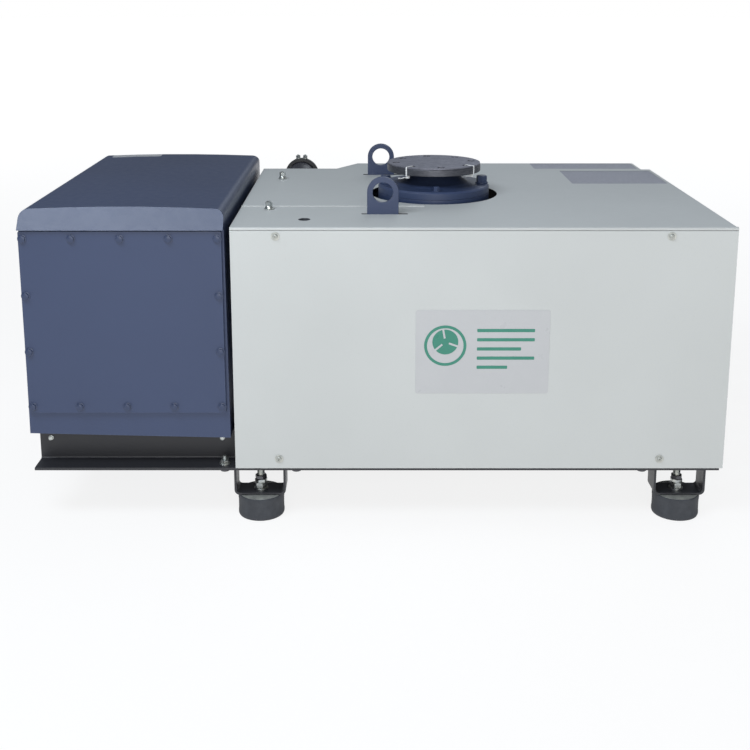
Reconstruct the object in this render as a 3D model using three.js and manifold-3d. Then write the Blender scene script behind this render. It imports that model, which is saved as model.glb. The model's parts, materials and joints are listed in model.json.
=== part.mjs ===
// Single-stage rotary vane vacuum pump with its oil casing, motor and sound hood, on four rubber feet.
// Millimetres, +Z up. The origin is the middle of the footprint, on the floor. +X runs from the oil
// casing to the motor, and the front is at -Y.

import * as THREE from 'three';
import { mergeVertices } from 'three/addons/utils/BufferGeometryUtils.js';
import Module from 'manifold-3d';

const wasm = await Module();
wasm.setup();

// ---- driving dimensions ----

const GAP = 0.3; // clearance left between pieces that touch
const SHEET = 2.5; // thickness of the hood's sheet steel

// outer limits
const FRONT = -425; // the casing's brow; the cover and the hood stand behind it by their bolt heads
const BACK = 425;
const LEFT = -737;
const RIGHT = 737;
const HOOD_LEFT = -301;
const HOOD_FRONT = -420;
const HOOD_TOP = 646.5;
const HOOD_BOTTOM = 121.5;
const EYE_TOP = 727.5;

// rails and cross beams
const RAIL_HALF_LENGTH = 731;
const RAIL_BOTTOM = 115;
const RAIL_THICKNESS = 6.2;
const RAIL_WEB_TOP = 186.5;
const RAIL_WEB_INNER = 358.5;
const RAIL_FLANGE_REACH = 417;
const BEAM_WALL = 5;
const BEAM_LEFT = [-727, -687];
const BEAM_MIDDLE = [-350, -205];
const BEAM_RIGHT = [200, 280];

// feet
const FOOT_X = [-252, 653];
const FOOT_Y = [-374, 374];
const FOOT_RADIUS = 50;
const FOOT_HEIGHT = 46.7;
const BRACKET_WIDTH = 111;
const BRACKET_DEPTH = 52;
const BRACKET_STRAP = 5;
const STUD_RADIUS = 8;

// oil casing
const CASING_RIGHT = -311;
const CASING_BACK = 350;
const CASING_FLOOR_LEFT = 197;
const CASING_FLOOR_RIGHT = 187;
const CASING_SHOULDER = 681;
const CASING_CROWN = 685;
const CASING_WALL = 8;
const COVER_BOTTOM = 245.5;
const COVER_TOP = 638;
const COVER_FRONT = -418.5;
const COVER_THICKNESS = 7.7;
const BROW_BOTTOM = 641;
const WINDOW = { left: -708, right: -344, bottom: 277, top: 605 };
const SIGHT_GLASS = { x: -524, z: 330, radius: 22 };
const FILLER = { x: -620, z: 560, radius: 16 };
const DRAIN = { x: -640, z: 235, radius: 13 };
const FILTER_X = [-620, -430];
const FILTER_Z = 520;
const FILTER_RADIUS = 45;

// pump, whose rotor runs along X above the middle of its bore
const AXIS_Y = -25;
const AXIS_Z = 395;
const BORE_RADIUS = 125;
const ROTOR_RADIUS = 107;
const SEAL_GAP = 0.6; // closest approach of the rotor to its bore
const BORE_Z = AXIS_Z + ROTOR_RADIUS + SEAL_GAP - BORE_RADIUS;
const STATOR_LEFT = -200;
const STATOR_RIGHT = 220;
const BLOCK_HALF_WIDTH = 165;
const BLOCK_TOP = 550;
const BLOCK_BOTTOM = 220;
const BLOCK_CHAMFER = 65;
const PLATE_LEFT = -240;
const PLATE_RIGHT = 255;
const SHAFT_RADIUS = 28;
const DUCT = { front: -126, back: -30, bottom: 500, top: 548 };
const DUCT_WALL = 8;
const INLET_PORT = { left: 85, right: 187, front: -10, back: 45, bottom: 460 };
const EXHAUST_SLOT_X = [-150, -60, 30, 120];
const EXHAUST_SLOT_LENGTH = 60;
const VANE_ANGLES = [-90, 30, 150];
const VANE_THICKNESS = 12;
const VANE_WIDTH = 52;
const VANE_OFFSET = 20;

// inlet, a DN 100 flange above the stator
const INLET_X = 136;
const INLET_RIM_RADIUS = 131;
const INLET_JOINT_Z = 652;
const FLANGE_RADIUS = 110;
const FLANGE_BOTTOM = 702;
const FLANGE_TOP = 718;
const INLET_BORE_RADIUS = 50;
const COVER_DISC_TOP = 721;
const HOLE_CIRCLE_RADIUS = 90;
const HOLE_RADIUS = 9;
const HOLE_COUNT = 8;
const HOLE_TURN = 7.7;

// lifting eyes
const EYE_X = 13;
const EYE_Y = [-278, 237];
const EYE_HALF_WIDTH = 34;
const EYE_HOLE_RADIUS = 22;
const EYE_THICKNESS = 10;
const EYE_ARM_BOTTOM = 430;
const EYE_ARM_TOP = 445;
const EYE_PAD_BOTTOM = 370;

// drive
const COUPLING_RADIUS = 60;
const PUMP_SHAFT_END = 292;
const MOTOR_SHAFT_START = 316;
const MOTOR_SHAFT_END = 664;
const MOTOR_LEFT = 345.3;
const MOTOR_RIGHT = 620;
const MOTOR_RADIUS = 150;
const FAN_COVER_RIGHT = 700;
const TERMINAL_BOX = { left: 430, right: 550, halfDepth: 62, height: 60 };
const OIL_FILTER = { x: -90, y: 200, radius: 48 };
const OIL_COOLER = { left: 440, right: 690, front: 345, back: 405, top: 600 };

// hood
const LID_FRONT = -199;
const LID_RIGHT = 107;
const INLET_OPENING_RADIUS = 150;
const REAR_LEFT_Y = 334;
const REAR_STEP_Y = 320;
const REAR_BUMP_LEFT = -50;
const REAR_BUMP_RIGHT = 711;
const SIDE_RIGHT = 734;
const CHAMFER_LEFT = -105;
const FRONT_VENT = { left: 488, right: 725, front: 99, back: 294 };
const REAR_VENT = { left: 426, right: 703, front: 330, back: 420 };
const LID_BOLTS = { lid_bolt_front: [-237, -228], lid_bolt_rear: [-238, 171] };
const LID_BOLT_HOLE_RADIUS = 4.5;
const ACCESS_HOLE = { x: -153, y: -340, radius: 11.5 };

// exhaust pipe, from the casing's right wall out through the rear panel
const EXHAUST_X = -203;
const EXHAUST_START = new THREE.Vector3(CASING_RIGHT + 2, 234, 590);
const EXHAUST_END_Z = 618;
const EXHAUST_RADIUS = 38;
const EXHAUST_BORE_RADIUS = 34;

// ---- materials ----

const paint = (color, roughness = 0.45, metalness = 0.1) =>
  new THREE.MeshStandardMaterial({ color, roughness, metalness, flatShading: true });

const casingBlue = paint(0x505a74);
const hoodGrey = paint(0xc6cbca);
const frameBlack = paint(0x2a2b30, 0.5);
const ventGrey = paint(0x82848f, 0.6);
const zinc = paint(0xb9c0c2, 0.3, 0.9);
const steel = paint(0x8d9196, 0.35, 0.9);
const flangeGrey = paint(0x5a595f, 0.6, 0.3);
const castIron = paint(0x55585c, 0.7, 0.5);
const aluminium = paint(0xa7abae, 0.4, 0.9);
const rubber = paint(0x3b3d42, 0.85, 0);
const elastomer = paint(0x9c2f24, 0.6, 0);
const blackPlastic = paint(0x232428, 0.6, 0);
const vaneComposite = paint(0x35312c, 0.8, 0);
const filterFleece = paint(0xd9d3bf, 0.95, 0);
const glass = paint(0xcfe0da, 0.1, 0);

// ---- geometry helpers ----

const vector = (x, y, z) => new THREE.Vector3(x, y, z);
const X = vector(1, 0, 0);
const Y = vector(0, 1, 0);
const Z = vector(0, 0, 1);

function box(x0, x1, y0, y1, z0, z1) {
  const geometry = new THREE.BoxGeometry(x1 - x0, y1 - y0, z1 - z0);
  return geometry.translate((x0 + x1) / 2, (y0 + y1) / 2, (z0 + z1) / 2);
}

function extrude(shape, depth, curveSegments) {
  return new THREE.ExtrudeGeometry(shape, { depth, bevelEnabled: false, curveSegments });
}

// a shape drawn in (y, z), pushed along X
function prismX(shape, x0, x1, curveSegments = 6) {
  const geometry = extrude(shape, x1 - x0, curveSegments);
  return geometry.applyMatrix4(new THREE.Matrix4().makeBasis(Y, Z, X)).translate(x0, 0, 0);
}

// a shape drawn in (x, z), pushed along Y
function prismY(shape, y0, y1, curveSegments = 6) {
  const geometry = extrude(shape, y1 - y0, curveSegments);
  const basis = new THREE.Matrix4().makeBasis(X, Z, Y.clone().negate());
  return geometry.applyMatrix4(basis).translate(0, y1, 0);
}

// a shape drawn in (x, y), pushed along Z
function prismZ(shape, z0, z1, curveSegments = 6) {
  return extrude(shape, z1 - z0, curveSegments).translate(0, 0, z0);
}

function polygon(points) {
  return new THREE.Shape(points.map(([a, b]) => new THREE.Vector2(a, b)));
}

function circle(a, b, radius) {
  return new THREE.Shape().absarc(a, b, radius, 0, 2 * Math.PI);
}

function roundedRectangle(a0, a1, b0, b1, radius) {
  const shape = new THREE.Shape();
  shape.absarc(a1 - radius, b0 + radius, radius, -Math.PI / 2, 0);
  shape.absarc(a1 - radius, b1 - radius, radius, 0, Math.PI / 2);
  shape.absarc(a0 + radius, b1 - radius, radius, Math.PI / 2, Math.PI);
  shape.absarc(a0 + radius, b0 + radius, radius, Math.PI, 1.5 * Math.PI);
  return shape;
}

function withHole(shape, ...holes) {
  shape.holes.push(...holes);
  return shape;
}

// solids of revolution: the points are [radius, place along the axis], up the outside first
function lathe(points, segments) {
  return new THREE.LatheGeometry(points.map(([r, along]) => new THREE.Vector2(r, along)), segments);
}

function turnedX(points, y, z, segments = 24) {
  return lathe(points, segments).rotateZ(-Math.PI / 2).translate(0, y, z);
}

function turnedY(points, x, z, segments = 24) {
  return lathe(points, segments).translate(x, 0, z);
}

function turnedZ(points, x, y, segments = 32) {
  return lathe(points, segments).rotateX(Math.PI / 2).translate(x, y, 0);
}

// a plain cylinder as a turned profile, and a tube as a closed one
const rod = (radius, from, to) => [[0, from], [radius, from], [radius, to], [0, to]];
const tube = (inner, outer, from, to) =>
  [[inner, from], [outer, from], [outer, to], [inner, to], [inner, from]];

// solid for joining and cutting, from a geometry whose faces close
function toSolid(geometry) {
  const bare = geometry.clone();
  bare.deleteAttribute('normal');
  bare.deleteAttribute('uv');
  const merged = mergeVertices(bare);
  const triangles = [];
  for (let i = 0; i < merged.index.count; i += 3) {
    const corners = [0, 1, 2].map((k) => merged.index.getX(i + k));
    if (new Set(corners).size === 3) triangles.push(...corners);
  }
  return new wasm.Manifold(new wasm.Mesh({
    numProp: 3,
    vertProperties: new Float32Array(merged.attributes.position.array),
    triVerts: new Uint32Array(triangles),
  }));
}

function toGeometry(solid) {
  const { vertProperties, triVerts } = solid.getMesh();
  const geometry = new THREE.BufferGeometry();
  geometry.setAttribute('position', new THREE.BufferAttribute(vertProperties, 3));
  geometry.setIndex(new THREE.BufferAttribute(triVerts, 1));
  return geometry;
}

function join(first, ...others) {
  return toGeometry(others.reduce((sum, piece) => sum.add(toSolid(piece)), toSolid(first)));
}

function cut(body, ...tools) {
  return toGeometry(tools.reduce((rest, tool) => rest.subtract(toSolid(tool)), toSolid(body)));
}

function common(first, ...others) {
  return toGeometry(others.reduce((rest, piece) => rest.intersect(toSolid(piece)), toSolid(first)));
}

// ---- assembly ----

const pump = new THREE.Group();

function add(name, geometry, material) {
  const mesh = new THREE.Mesh(geometry, material);
  mesh.name = name;
  pump.add(mesh);
}

// two angle-section rails along X, flanges outwards
function addRails() {
  const outerBend = 10;
  const innerBend = outerBend - RAIL_THICKNESS;
  const web = -RAIL_WEB_INNER;
  const profile = new THREE.Shape();
  profile.moveTo(-RAIL_FLANGE_REACH, RAIL_BOTTOM);
  profile.lineTo(web - outerBend, RAIL_BOTTOM);
  profile.absarc(web - outerBend, RAIL_BOTTOM + outerBend, outerBend, -Math.PI / 2, 0);
  profile.lineTo(web, RAIL_WEB_TOP);
  profile.lineTo(web - RAIL_THICKNESS, RAIL_WEB_TOP);
  profile.absarc(web - outerBend, RAIL_BOTTOM + outerBend, innerBend, 0, -Math.PI / 2, true);
  profile.lineTo(-RAIL_FLANGE_REACH, RAIL_BOTTOM + RAIL_THICKNESS);
  const rail = prismX(profile, -RAIL_HALF_LENGTH, RAIL_HALF_LENGTH);
  add('front_rail', rail, frameBlack);
  add('rear_rail', rail.clone().rotateZ(Math.PI), frameBlack);
}

// rectangular tubes between the rails, which carry the casing and the pump
function addCrossBeams() {
  const beam = ([left, right], top) => {
    const bottom = RAIL_BOTTOM + RAIL_THICKNESS + 1;
    const outline = roundedRectangle(left, right, bottom, top, 6);
    const wall = BEAM_WALL;
    const inside = roundedRectangle(left + wall, right - wall, bottom + wall, top - wall, 2);
    return prismY(withHole(outline, inside), GAP - RAIL_WEB_INNER, RAIL_WEB_INNER - GAP, 3);
  };
  add('cross_beam_left', beam(BEAM_LEFT, 195), frameBlack);
  add('cross_beam_middle', beam(BEAM_MIDDLE, RAIL_WEB_TOP), frameBlack);
  add('cross_beam_right', beam(BEAM_RIGHT, RAIL_WEB_TOP), frameBlack);
}

// rubber buffer, its zinc plate and stud, and the U strap that hangs from the rail
function addFoot(number, x, y) {
  const shoulder = 4;
  const rubberProfile = [
    [0, 0], [FOOT_RADIUS - shoulder, 0], [FOOT_RADIUS, shoulder],
    [FOOT_RADIUS, FOOT_HEIGHT], [0, FOOT_HEIGHT],
  ];
  add(`rubber_foot_${number}`, turnedZ(rubberProfile, x, y), rubber);

  const plateBottom = FOOT_HEIGHT + GAP;
  const plateTop = plateBottom + 3;
  const studTop = RAIL_BOTTOM - 0.4;
  const studProfile = [
    [0, plateBottom], [FOOT_RADIUS - 2, plateBottom], [FOOT_RADIUS - 2, plateTop],
    [STUD_RADIUS, plateTop], [STUD_RADIUS, studTop], [0, studTop],
  ];
  add(`foot_stud_${number}`, turnedZ(studProfile, x, y, 24), zinc);

  const strapBottom = plateTop + GAP;
  const strapTop = RAIL_BOTTOM - GAP;
  const half = BRACKET_WIDTH / 2;
  const outer = 12;
  const inner = outer - BRACKET_STRAP;
  const strap = new THREE.Shape();
  strap.moveTo(x - half, strapTop);
  strap.lineTo(x - half, strapBottom + outer);
  strap.absarc(x - half + outer, strapBottom + outer, outer, Math.PI, 1.5 * Math.PI);
  strap.absarc(x + half - outer, strapBottom + outer, outer, -Math.PI / 2, 0);
  strap.lineTo(x + half, strapTop);
  strap.lineTo(x + half - BRACKET_STRAP, strapTop);
  strap.absarc(x + half - outer, strapBottom + outer, inner, 0, -Math.PI / 2, true);
  strap.absarc(x - half + outer, strapBottom + outer, inner, 1.5 * Math.PI, Math.PI, true);
  strap.lineTo(x - half + BRACKET_STRAP, strapTop);
  const hole = turnedZ(rod(STUD_RADIUS + 0.5, strapBottom - 5, strapBottom + 10), x, y, 16);
  const bracket = prismY(strap, y - BRACKET_DEPTH / 2, y + BRACKET_DEPTH / 2, 4);
  add(`foot_bracket_${number}`, cut(bracket, hole), frameBlack);
}

function addFeet() {
  const places = FOOT_Y.flatMap((y) => FOOT_X.map((x) => [x, y]));
  places.forEach(([x, y], index) => addFoot(index + 1, x, y));
}

// outline of the casing seen from the front: leaning sides, round shoulders and a slight crown
function casingFrontOutline() {
  const lean = 3;
  const shoulder = 18;
  const right = CASING_RIGHT - lean - shoulder;
  const left = LEFT + lean + shoulder;
  const bendZ = CASING_SHOULDER - shoulder;
  const outline = new THREE.Shape();
  outline.moveTo(LEFT, CASING_FLOOR_LEFT);
  outline.lineTo(CASING_RIGHT, CASING_FLOOR_RIGHT);
  outline.absarc(right, bendZ, shoulder, 0, Math.PI / 2);
  outline.quadraticCurveTo((left + right) / 2, 2 * CASING_CROWN - CASING_SHOULDER, left, CASING_SHOULDER);
  outline.absarc(left, bendZ, shoulder, Math.PI / 2, Math.PI);
  return outline;
}

// oil casing: a hollow box with a sloping brow, open at the front under its bolted cover
function addOilCasing() {
  const seat = COVER_FRONT + COVER_THICKNESS + GAP;
  const crown = CASING_CROWN + 5;
  const brow = [[FRONT, BROW_BOTTOM], [FRONT + 25, 677], [FRONT + 34, crown]];
  const backBevel = [[CASING_BACK - 14, crown], [CASING_BACK, 670]];
  const below = CASING_FLOOR_RIGHT - 7;
  const side = polygon([
    [seat, below], [seat, BROW_BOTTOM - 1], ...brow, ...backBevel, [CASING_BACK, below],
  ]);
  const plan = roundedRectangle(LEFT, CASING_RIGHT, FRONT, CASING_BACK, 7);
  const block = common(
    prismY(casingFrontOutline(), FRONT - 1, CASING_BACK + 1, 5),
    prismX(side, LEFT - 1, CASING_RIGHT + 1),
    prismZ(plan, below, crown, 3),
  );
  const inside = box(
    LEFT + CASING_WALL, CASING_RIGHT - CASING_WALL,
    seat + CASING_WALL, CASING_BACK - CASING_WALL,
    CASING_FLOOR_LEFT + CASING_WALL, CASING_SHOULDER - 14,
  );
  const window = box(
    WINDOW.left, WINDOW.right, seat - 5, seat + CASING_WALL + 5, WINDOW.bottom, WINDOW.top,
  );
  const through = CASING_RIGHT - 2 * CASING_WALL;
  const exhaustBore = rod(EXHAUST_BORE_RADIUS, through, CASING_RIGHT + 5);
  const exhaustHole = turnedX(exhaustBore, EXHAUST_START.y, EXHAUST_START.z, 24);
  const ductHole = box(
    through, CASING_RIGHT + 5, DUCT.front + DUCT_WALL, DUCT.back - DUCT_WALL,
    DUCT.bottom + DUCT_WALL, DUCT.top - DUCT_WALL,
  );
  const rearHoles = [SIGHT_GLASS, FILLER, DRAIN].map(({ x, z, radius }) =>
    turnedY(rod(radius + GAP, CASING_BACK - 20, CASING_BACK + 5), x, z));
  add('oil_casing', cut(block, inside, window, exhaustHole, ductHole, ...rearHoles), casingBlue);

  const cover = roundedRectangle(LEFT + 3, CASING_RIGHT - 7, COVER_BOTTOM, COVER_TOP, 4);
  const coverPlate = prismY(cover, COVER_FRONT, COVER_FRONT + COVER_THICKNESS, 3);
  add('casing_cover', coverPlate, casingBlue);

  const wallInside = CASING_BACK - CASING_WALL;
  const plug = ({ x, z, radius }, head, reach) => turnedY([
    [0, wallInside], [radius, wallInside], [radius, CASING_BACK + GAP], [head, CASING_BACK + GAP],
    [head, CASING_BACK + reach], [0, CASING_BACK + reach],
  ], x, z);
  add('oil_sight_glass', plug(SIGHT_GLASS, 27, 6), glass);
  add('oil_filler_plug', plug(FILLER, 24, 22), blackPlastic);
  add('oil_drain_plug', plug(DRAIN, 18, 14), zinc);
}

// two exhaust filter cartridges lying front to back inside the casing, open at the rear
function addExhaustFilters() {
  const front = -385;
  const back = 230;
  const inside = FILTER_RADIUS - 9;
  const profile = [
    [0, front], [FILTER_RADIUS, front], [FILTER_RADIUS, back],
    [inside, back], [inside, front + 8], [0, front + 8],
  ];
  FILTER_X.forEach((x, index) => {
    add(`exhaust_filter_${index + 1}`, turnedY(profile, x, FILTER_Z), filterFleece);
  });
}

// eight-sided block outline in (y, z), from its lower front corner
function blockOutline(shrink = 0) {
  const wide = BLOCK_HALF_WIDTH - shrink;
  const narrow = wide - BLOCK_CHAMFER;
  const top = BLOCK_TOP - shrink;
  return [
    [AXIS_Y - narrow, BLOCK_BOTTOM], [AXIS_Y + narrow, BLOCK_BOTTOM],
    [AXIS_Y + wide, BLOCK_BOTTOM + BLOCK_CHAMFER], [AXIS_Y + wide, top - BLOCK_CHAMFER],
    [AXIS_Y + narrow, top], [AXIS_Y - narrow, top],
    [AXIS_Y - wide, top - BLOCK_CHAMFER], [AXIS_Y - wide, BLOCK_BOTTOM + BLOCK_CHAMFER],
  ];
}

// a tool laid across the block's upper front chamfer, facing 45 degrees up and forwards
function onExhaustFace(geometry) {
  const middleY = AXIS_Y - BLOCK_HALF_WIDTH + BLOCK_CHAMFER / 2;
  const middleZ = BLOCK_TOP - BLOCK_CHAMFER / 2;
  return geometry.rotateX(Math.PI / 4).translate(0, middleY, middleZ);
}

function addStator() {
  const outline = withHole(polygon(blockOutline()), circle(AXIS_Y, BORE_Z, BORE_RADIUS));
  const block = prismX(outline, STATOR_LEFT, STATOR_RIGHT, 24);
  const inletPort = box(
    INLET_PORT.left, INLET_PORT.right, INLET_PORT.front, INLET_PORT.back, INLET_PORT.bottom, BLOCK_TOP + 1,
  );
  const exhaustSlots = EXHAUST_SLOT_X.map((x) =>
    onExhaustFace(box(x, x + EXHAUST_SLOT_LENGTH, -8, 8, -75, 5)));
  add('stator', cut(block, inletPort, ...exhaustSlots), castIron);

  const valve = join(
    box(STATOR_LEFT + 15, STATOR_RIGHT - 15, -22, 22, GAP, 3),
    box(STATOR_LEFT + 15, STATOR_RIGHT - 15, -10, 10, 2, 12),
  );
  add('exhaust_valve', onExhaustFace(valve), steel);
}

// end plates with their feet, which close the bore and hold the rotor's bearings
function addEndPlates() {
  const footBottom = RAIL_WEB_TOP + GAP;
  const outline = () => polygon([
    ...blockOutline(2).slice(2), [AXIS_Y - 163, footBottom], [AXIS_Y + 163, footBottom],
  ]);
  const plate = prismX(outline(), PLATE_LEFT, STATOR_LEFT - GAP);
  const duct = box(
    CASING_RIGHT + GAP, PLATE_LEFT + 1, DUCT.front, DUCT.back, DUCT.bottom, DUCT.top,
  );
  const channel = box(
    CASING_RIGHT - 5, STATOR_LEFT + 5, DUCT.front + DUCT_WALL, DUCT.back - DUCT_WALL,
    DUCT.bottom + DUCT_WALL, DUCT.top - DUCT_WALL,
  );
  const shaftBore = SHAFT_RADIUS + GAP;
  const bearing = turnedX(rod(shaftBore, PLATE_LEFT + 4, STATOR_LEFT + 5), AXIS_Y, AXIS_Z);
  add('end_plate_casing_side', cut(join(plate, duct), channel, bearing), castIron);

  const drivePlate = prismX(outline(), STATOR_RIGHT + GAP, PLATE_RIGHT);
  const shaftHole = turnedX(rod(shaftBore, STATOR_RIGHT - 5, PLATE_RIGHT + 5), AXIS_Y, AXIS_Z);
  add('end_plate_drive_side', cut(drivePlate, shaftHole), castIron);
}

// rotor with its shaft ends, and the vanes drawn level with the rotor's surface
function addRotorAndVanes() {
  const left = STATOR_LEFT + GAP;
  const right = STATOR_RIGHT - GAP;
  const profile = [
    [0, PLATE_LEFT + 6], [SHAFT_RADIUS, PLATE_LEFT + 6], [SHAFT_RADIUS, left], [ROTOR_RADIUS, left],
    [ROTOR_RADIUS, right], [SHAFT_RADIUS, right], [SHAFT_RADIUS, PUMP_SHAFT_END], [0, PUMP_SHAFT_END],
  ];
  const reach = Math.sqrt((ROTOR_RADIUS - 0.2) ** 2 - (VANE_OFFSET + VANE_THICKNESS / 2) ** 2);
  const slotDepth = VANE_WIDTH + 8;
  const place = (geometry, angle) =>
    geometry.rotateX(THREE.MathUtils.degToRad(angle)).translate(0, AXIS_Y, AXIS_Z);
  const low = VANE_OFFSET - VANE_THICKNESS / 2;
  const high = VANE_OFFSET + VANE_THICKNESS / 2;
  const slots = VANE_ANGLES.map((angle) => place(
    box(left - 5, right + 5, reach - slotDepth, ROTOR_RADIUS + 5, low - GAP, high + GAP), angle,
  ));
  add('rotor', cut(turnedX(profile, AXIS_Y, AXIS_Z, 40), ...slots), steel);
  VANE_ANGLES.forEach((angle, index) => {
    const vane = box(left + GAP, right - GAP, reach - VANE_WIDTH, reach, low, high);
    add(`vane_${index + 1}`, place(vane, angle), vaneComposite);
  });
}

class Helix extends THREE.Curve {
  constructor(radius, bottom, top, turns) {
    super();
    Object.assign(this, { radius, bottom, top, turns });
  }

  getPoint(t) {
    const angle = 2 * Math.PI * this.turns * t;
    return vector(
      INLET_X + this.radius * Math.cos(angle),
      AXIS_Y + this.radius * Math.sin(angle),
      THREE.MathUtils.lerp(this.bottom, this.top, t),
    );
  }
}

// centres of the flange's bolt holes
function flangeHoles() {
  return Array.from({ length: HOLE_COUNT }, (_, index) => {
    const angle = THREE.MathUtils.degToRad((360 / HOLE_COUNT) * index - 90 + HOLE_TURN);
    return [INLET_X + HOLE_CIRCLE_RADIUS * Math.cos(angle), AXIS_Y + HOLE_CIRCLE_RADIUS * Math.sin(angle)];
  });
}

// inlet: housing on the stator, neck with the flange, transport cover, and the check valve between them
function addInlet() {
  const housing = [
    [85, BLOCK_TOP + GAP], [100, BLOCK_TOP + GAP], [100, 615], [INLET_RIM_RADIUS, 634],
    [INLET_RIM_RADIUS, INLET_JOINT_Z - GAP], [85, INLET_JOINT_Z - GAP], [85, BLOCK_TOP + GAP],
  ];
  add('inlet_housing', turnedZ(housing, INLET_X, AXIS_Y, 40), casingBlue);

  const neck = [
    [INLET_BORE_RADIUS, INLET_JOINT_Z], [INLET_RIM_RADIUS, INLET_JOINT_Z], [INLET_RIM_RADIUS, 666],
    [INLET_RIM_RADIUS - 4, 670], [96, 671], [80, 675], [66, 684], [58, 694], [56, FLANGE_BOTTOM],
    [FLANGE_RADIUS - 1, FLANGE_BOTTOM], [FLANGE_RADIUS, FLANGE_BOTTOM + 1], [FLANGE_RADIUS, FLANGE_TOP - 1],
    [FLANGE_RADIUS - 1, FLANGE_TOP], [INLET_BORE_RADIUS, FLANGE_TOP], [INLET_BORE_RADIUS, INLET_JOINT_Z],
  ];
  const drill = rod(HOLE_RADIUS, FLANGE_BOTTOM - 4, FLANGE_TOP + 5);
  const drills = flangeHoles().map(([x, y]) => turnedZ(drill, x, y, 12));
  add('inlet_neck', cut(turnedZ(neck, INLET_X, AXIS_Y, 40), ...drills), casingBlue);

  const disc = turnedZ(rod(FLANGE_RADIUS - 1, FLANGE_TOP + GAP, COVER_DISC_TOP), INLET_X, AXIS_Y, 40);
  add('inlet_cover', cut(disc, ...drills), flangeGrey);

  const discTop = INLET_JOINT_Z - GAP;
  const discBottom = discTop - 8;
  const valve = [
    [0, discBottom - 16], [16, discBottom - 16], [18, discBottom],
    [62, discBottom], [62, discTop], [0, discTop],
  ];
  add('check_valve_disc', turnedZ(valve, INLET_X, AXIS_Y), steel);

  const wire = 2.5;
  const extrudePath = new Helix(32, BLOCK_TOP + GAP + wire, discBottom - GAP - wire, 5);
  const coil = new THREE.ExtrudeGeometry(circle(0, 0, wire), { extrudePath, steps: 45, curveSegments: 3 });
  add('check_valve_spring', coil, steel);
}

// lifting eyes: plates that stand through the hood, on arms bolted to the stator's sides
function addLiftingEyes() {
  const holeZ = EYE_TOP - EYE_HALF_WIDTH;
  const left = EYE_X - EYE_HALF_WIDTH;
  const right = EYE_X + EYE_HALF_WIDTH;
  EYE_Y.forEach((y, index) => {
    const outline = new THREE.Shape();
    outline.moveTo(left, EYE_ARM_BOTTOM);
    outline.lineTo(right, EYE_ARM_BOTTOM);
    outline.absarc(EYE_X, holeZ, EYE_HALF_WIDTH, 0, Math.PI);
    const half = EYE_THICKNESS / 2;
    const hole = circle(EYE_X, holeZ, EYE_HOLE_RADIUS);
    const plate = prismY(withHole(outline, hole), y - half, y + half, 16);
    const side = Math.sign(y - AXIS_Y);
    const wall = AXIS_Y + side * (BLOCK_HALF_WIDTH + GAP);
    const [armFront, armBack] = [y, wall].sort((a, b) => a - b);
    const [padFront, padBack] = [wall, wall + side * EYE_THICKNESS].sort((a, b) => a - b);
    const arm = box(left, right, armFront, armBack, EYE_ARM_BOTTOM, EYE_ARM_TOP);
    const pad = box(left, right, padFront, padBack, EYE_PAD_BOTTOM, EYE_ARM_TOP);
    add(index === 0 ? 'lifting_eye_front' : 'lifting_eye_rear', join(plate, arm, pad), casingBlue);
  });
}

// spin-on oil filter on the stator's rear side, and the oil cooler below the rear vent
function addOilCircuit() {
  const { x, y, radius } = OIL_FILTER;
  const canister = [
    [0, 330], [radius - 8, 330], [radius, 338], [radius, 455], [radius - 4, 470], [0, 470],
  ];
  const side = AXIS_Y + BLOCK_HALF_WIDTH + GAP;
  const head = box(x - 35, x + 35, side, y + 40, 468, 482);
  add('oil_filter', join(turnedZ(canister, x, y, 24), head), blackPlastic);

  const { left, right, front, back, top } = OIL_COOLER;
  add('oil_cooler', box(left, right, front, back, RAIL_WEB_TOP + GAP, top), aluminium);
}

// ring sector in (y, z) around the drive's axis
function sector(inner, outer, middleDegrees, halfDegrees) {
  const from = THREE.MathUtils.degToRad(middleDegrees - halfDegrees);
  const to = THREE.MathUtils.degToRad(middleDegrees + halfDegrees);
  const shape = new THREE.Shape();
  shape.absarc(AXIS_Y, AXIS_Z, outer, from, to);
  shape.absarc(AXIS_Y, AXIS_Z, inner, to, from, true);
  return shape;
}

// elastic jaw coupling: two hubs with three jaws each, and the spider between the jaws
function addCoupling() {
  const thirds = [0, 120, 240];
  const hub = (from, to, jawFrom, jawTo, turn) => join(
    turnedX(tube(SHAFT_RADIUS + GAP, COUPLING_RADIUS, from, to), AXIS_Y, AXIS_Z),
    ...thirds.map((angle) => prismX(sector(31, COUPLING_RADIUS - 1, angle + turn, 20), jawFrom, jawTo, 4)),
  );
  add('coupling_hub_pump', hub(262, PUMP_SHAFT_END, PUMP_SHAFT_END - 2, 311, 0), castIron);
  add('coupling_hub_motor', hub(MOTOR_SHAFT_START, 344, 297, MOTOR_SHAFT_START + 2, 60), castIron);
  const legs = thirds.flatMap((angle) => [angle + 30, angle + 90]);
  const spider = join(
    turnedX(rod(27, 294, 314), AXIS_Y, AXIS_Z),
    ...legs.map((angle) => prismX(sector(24, COUPLING_RADIUS - 2, angle, 9), 294, 314, 3)),
  );
  add('coupling_spider', spider, elastomer);
}

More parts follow.
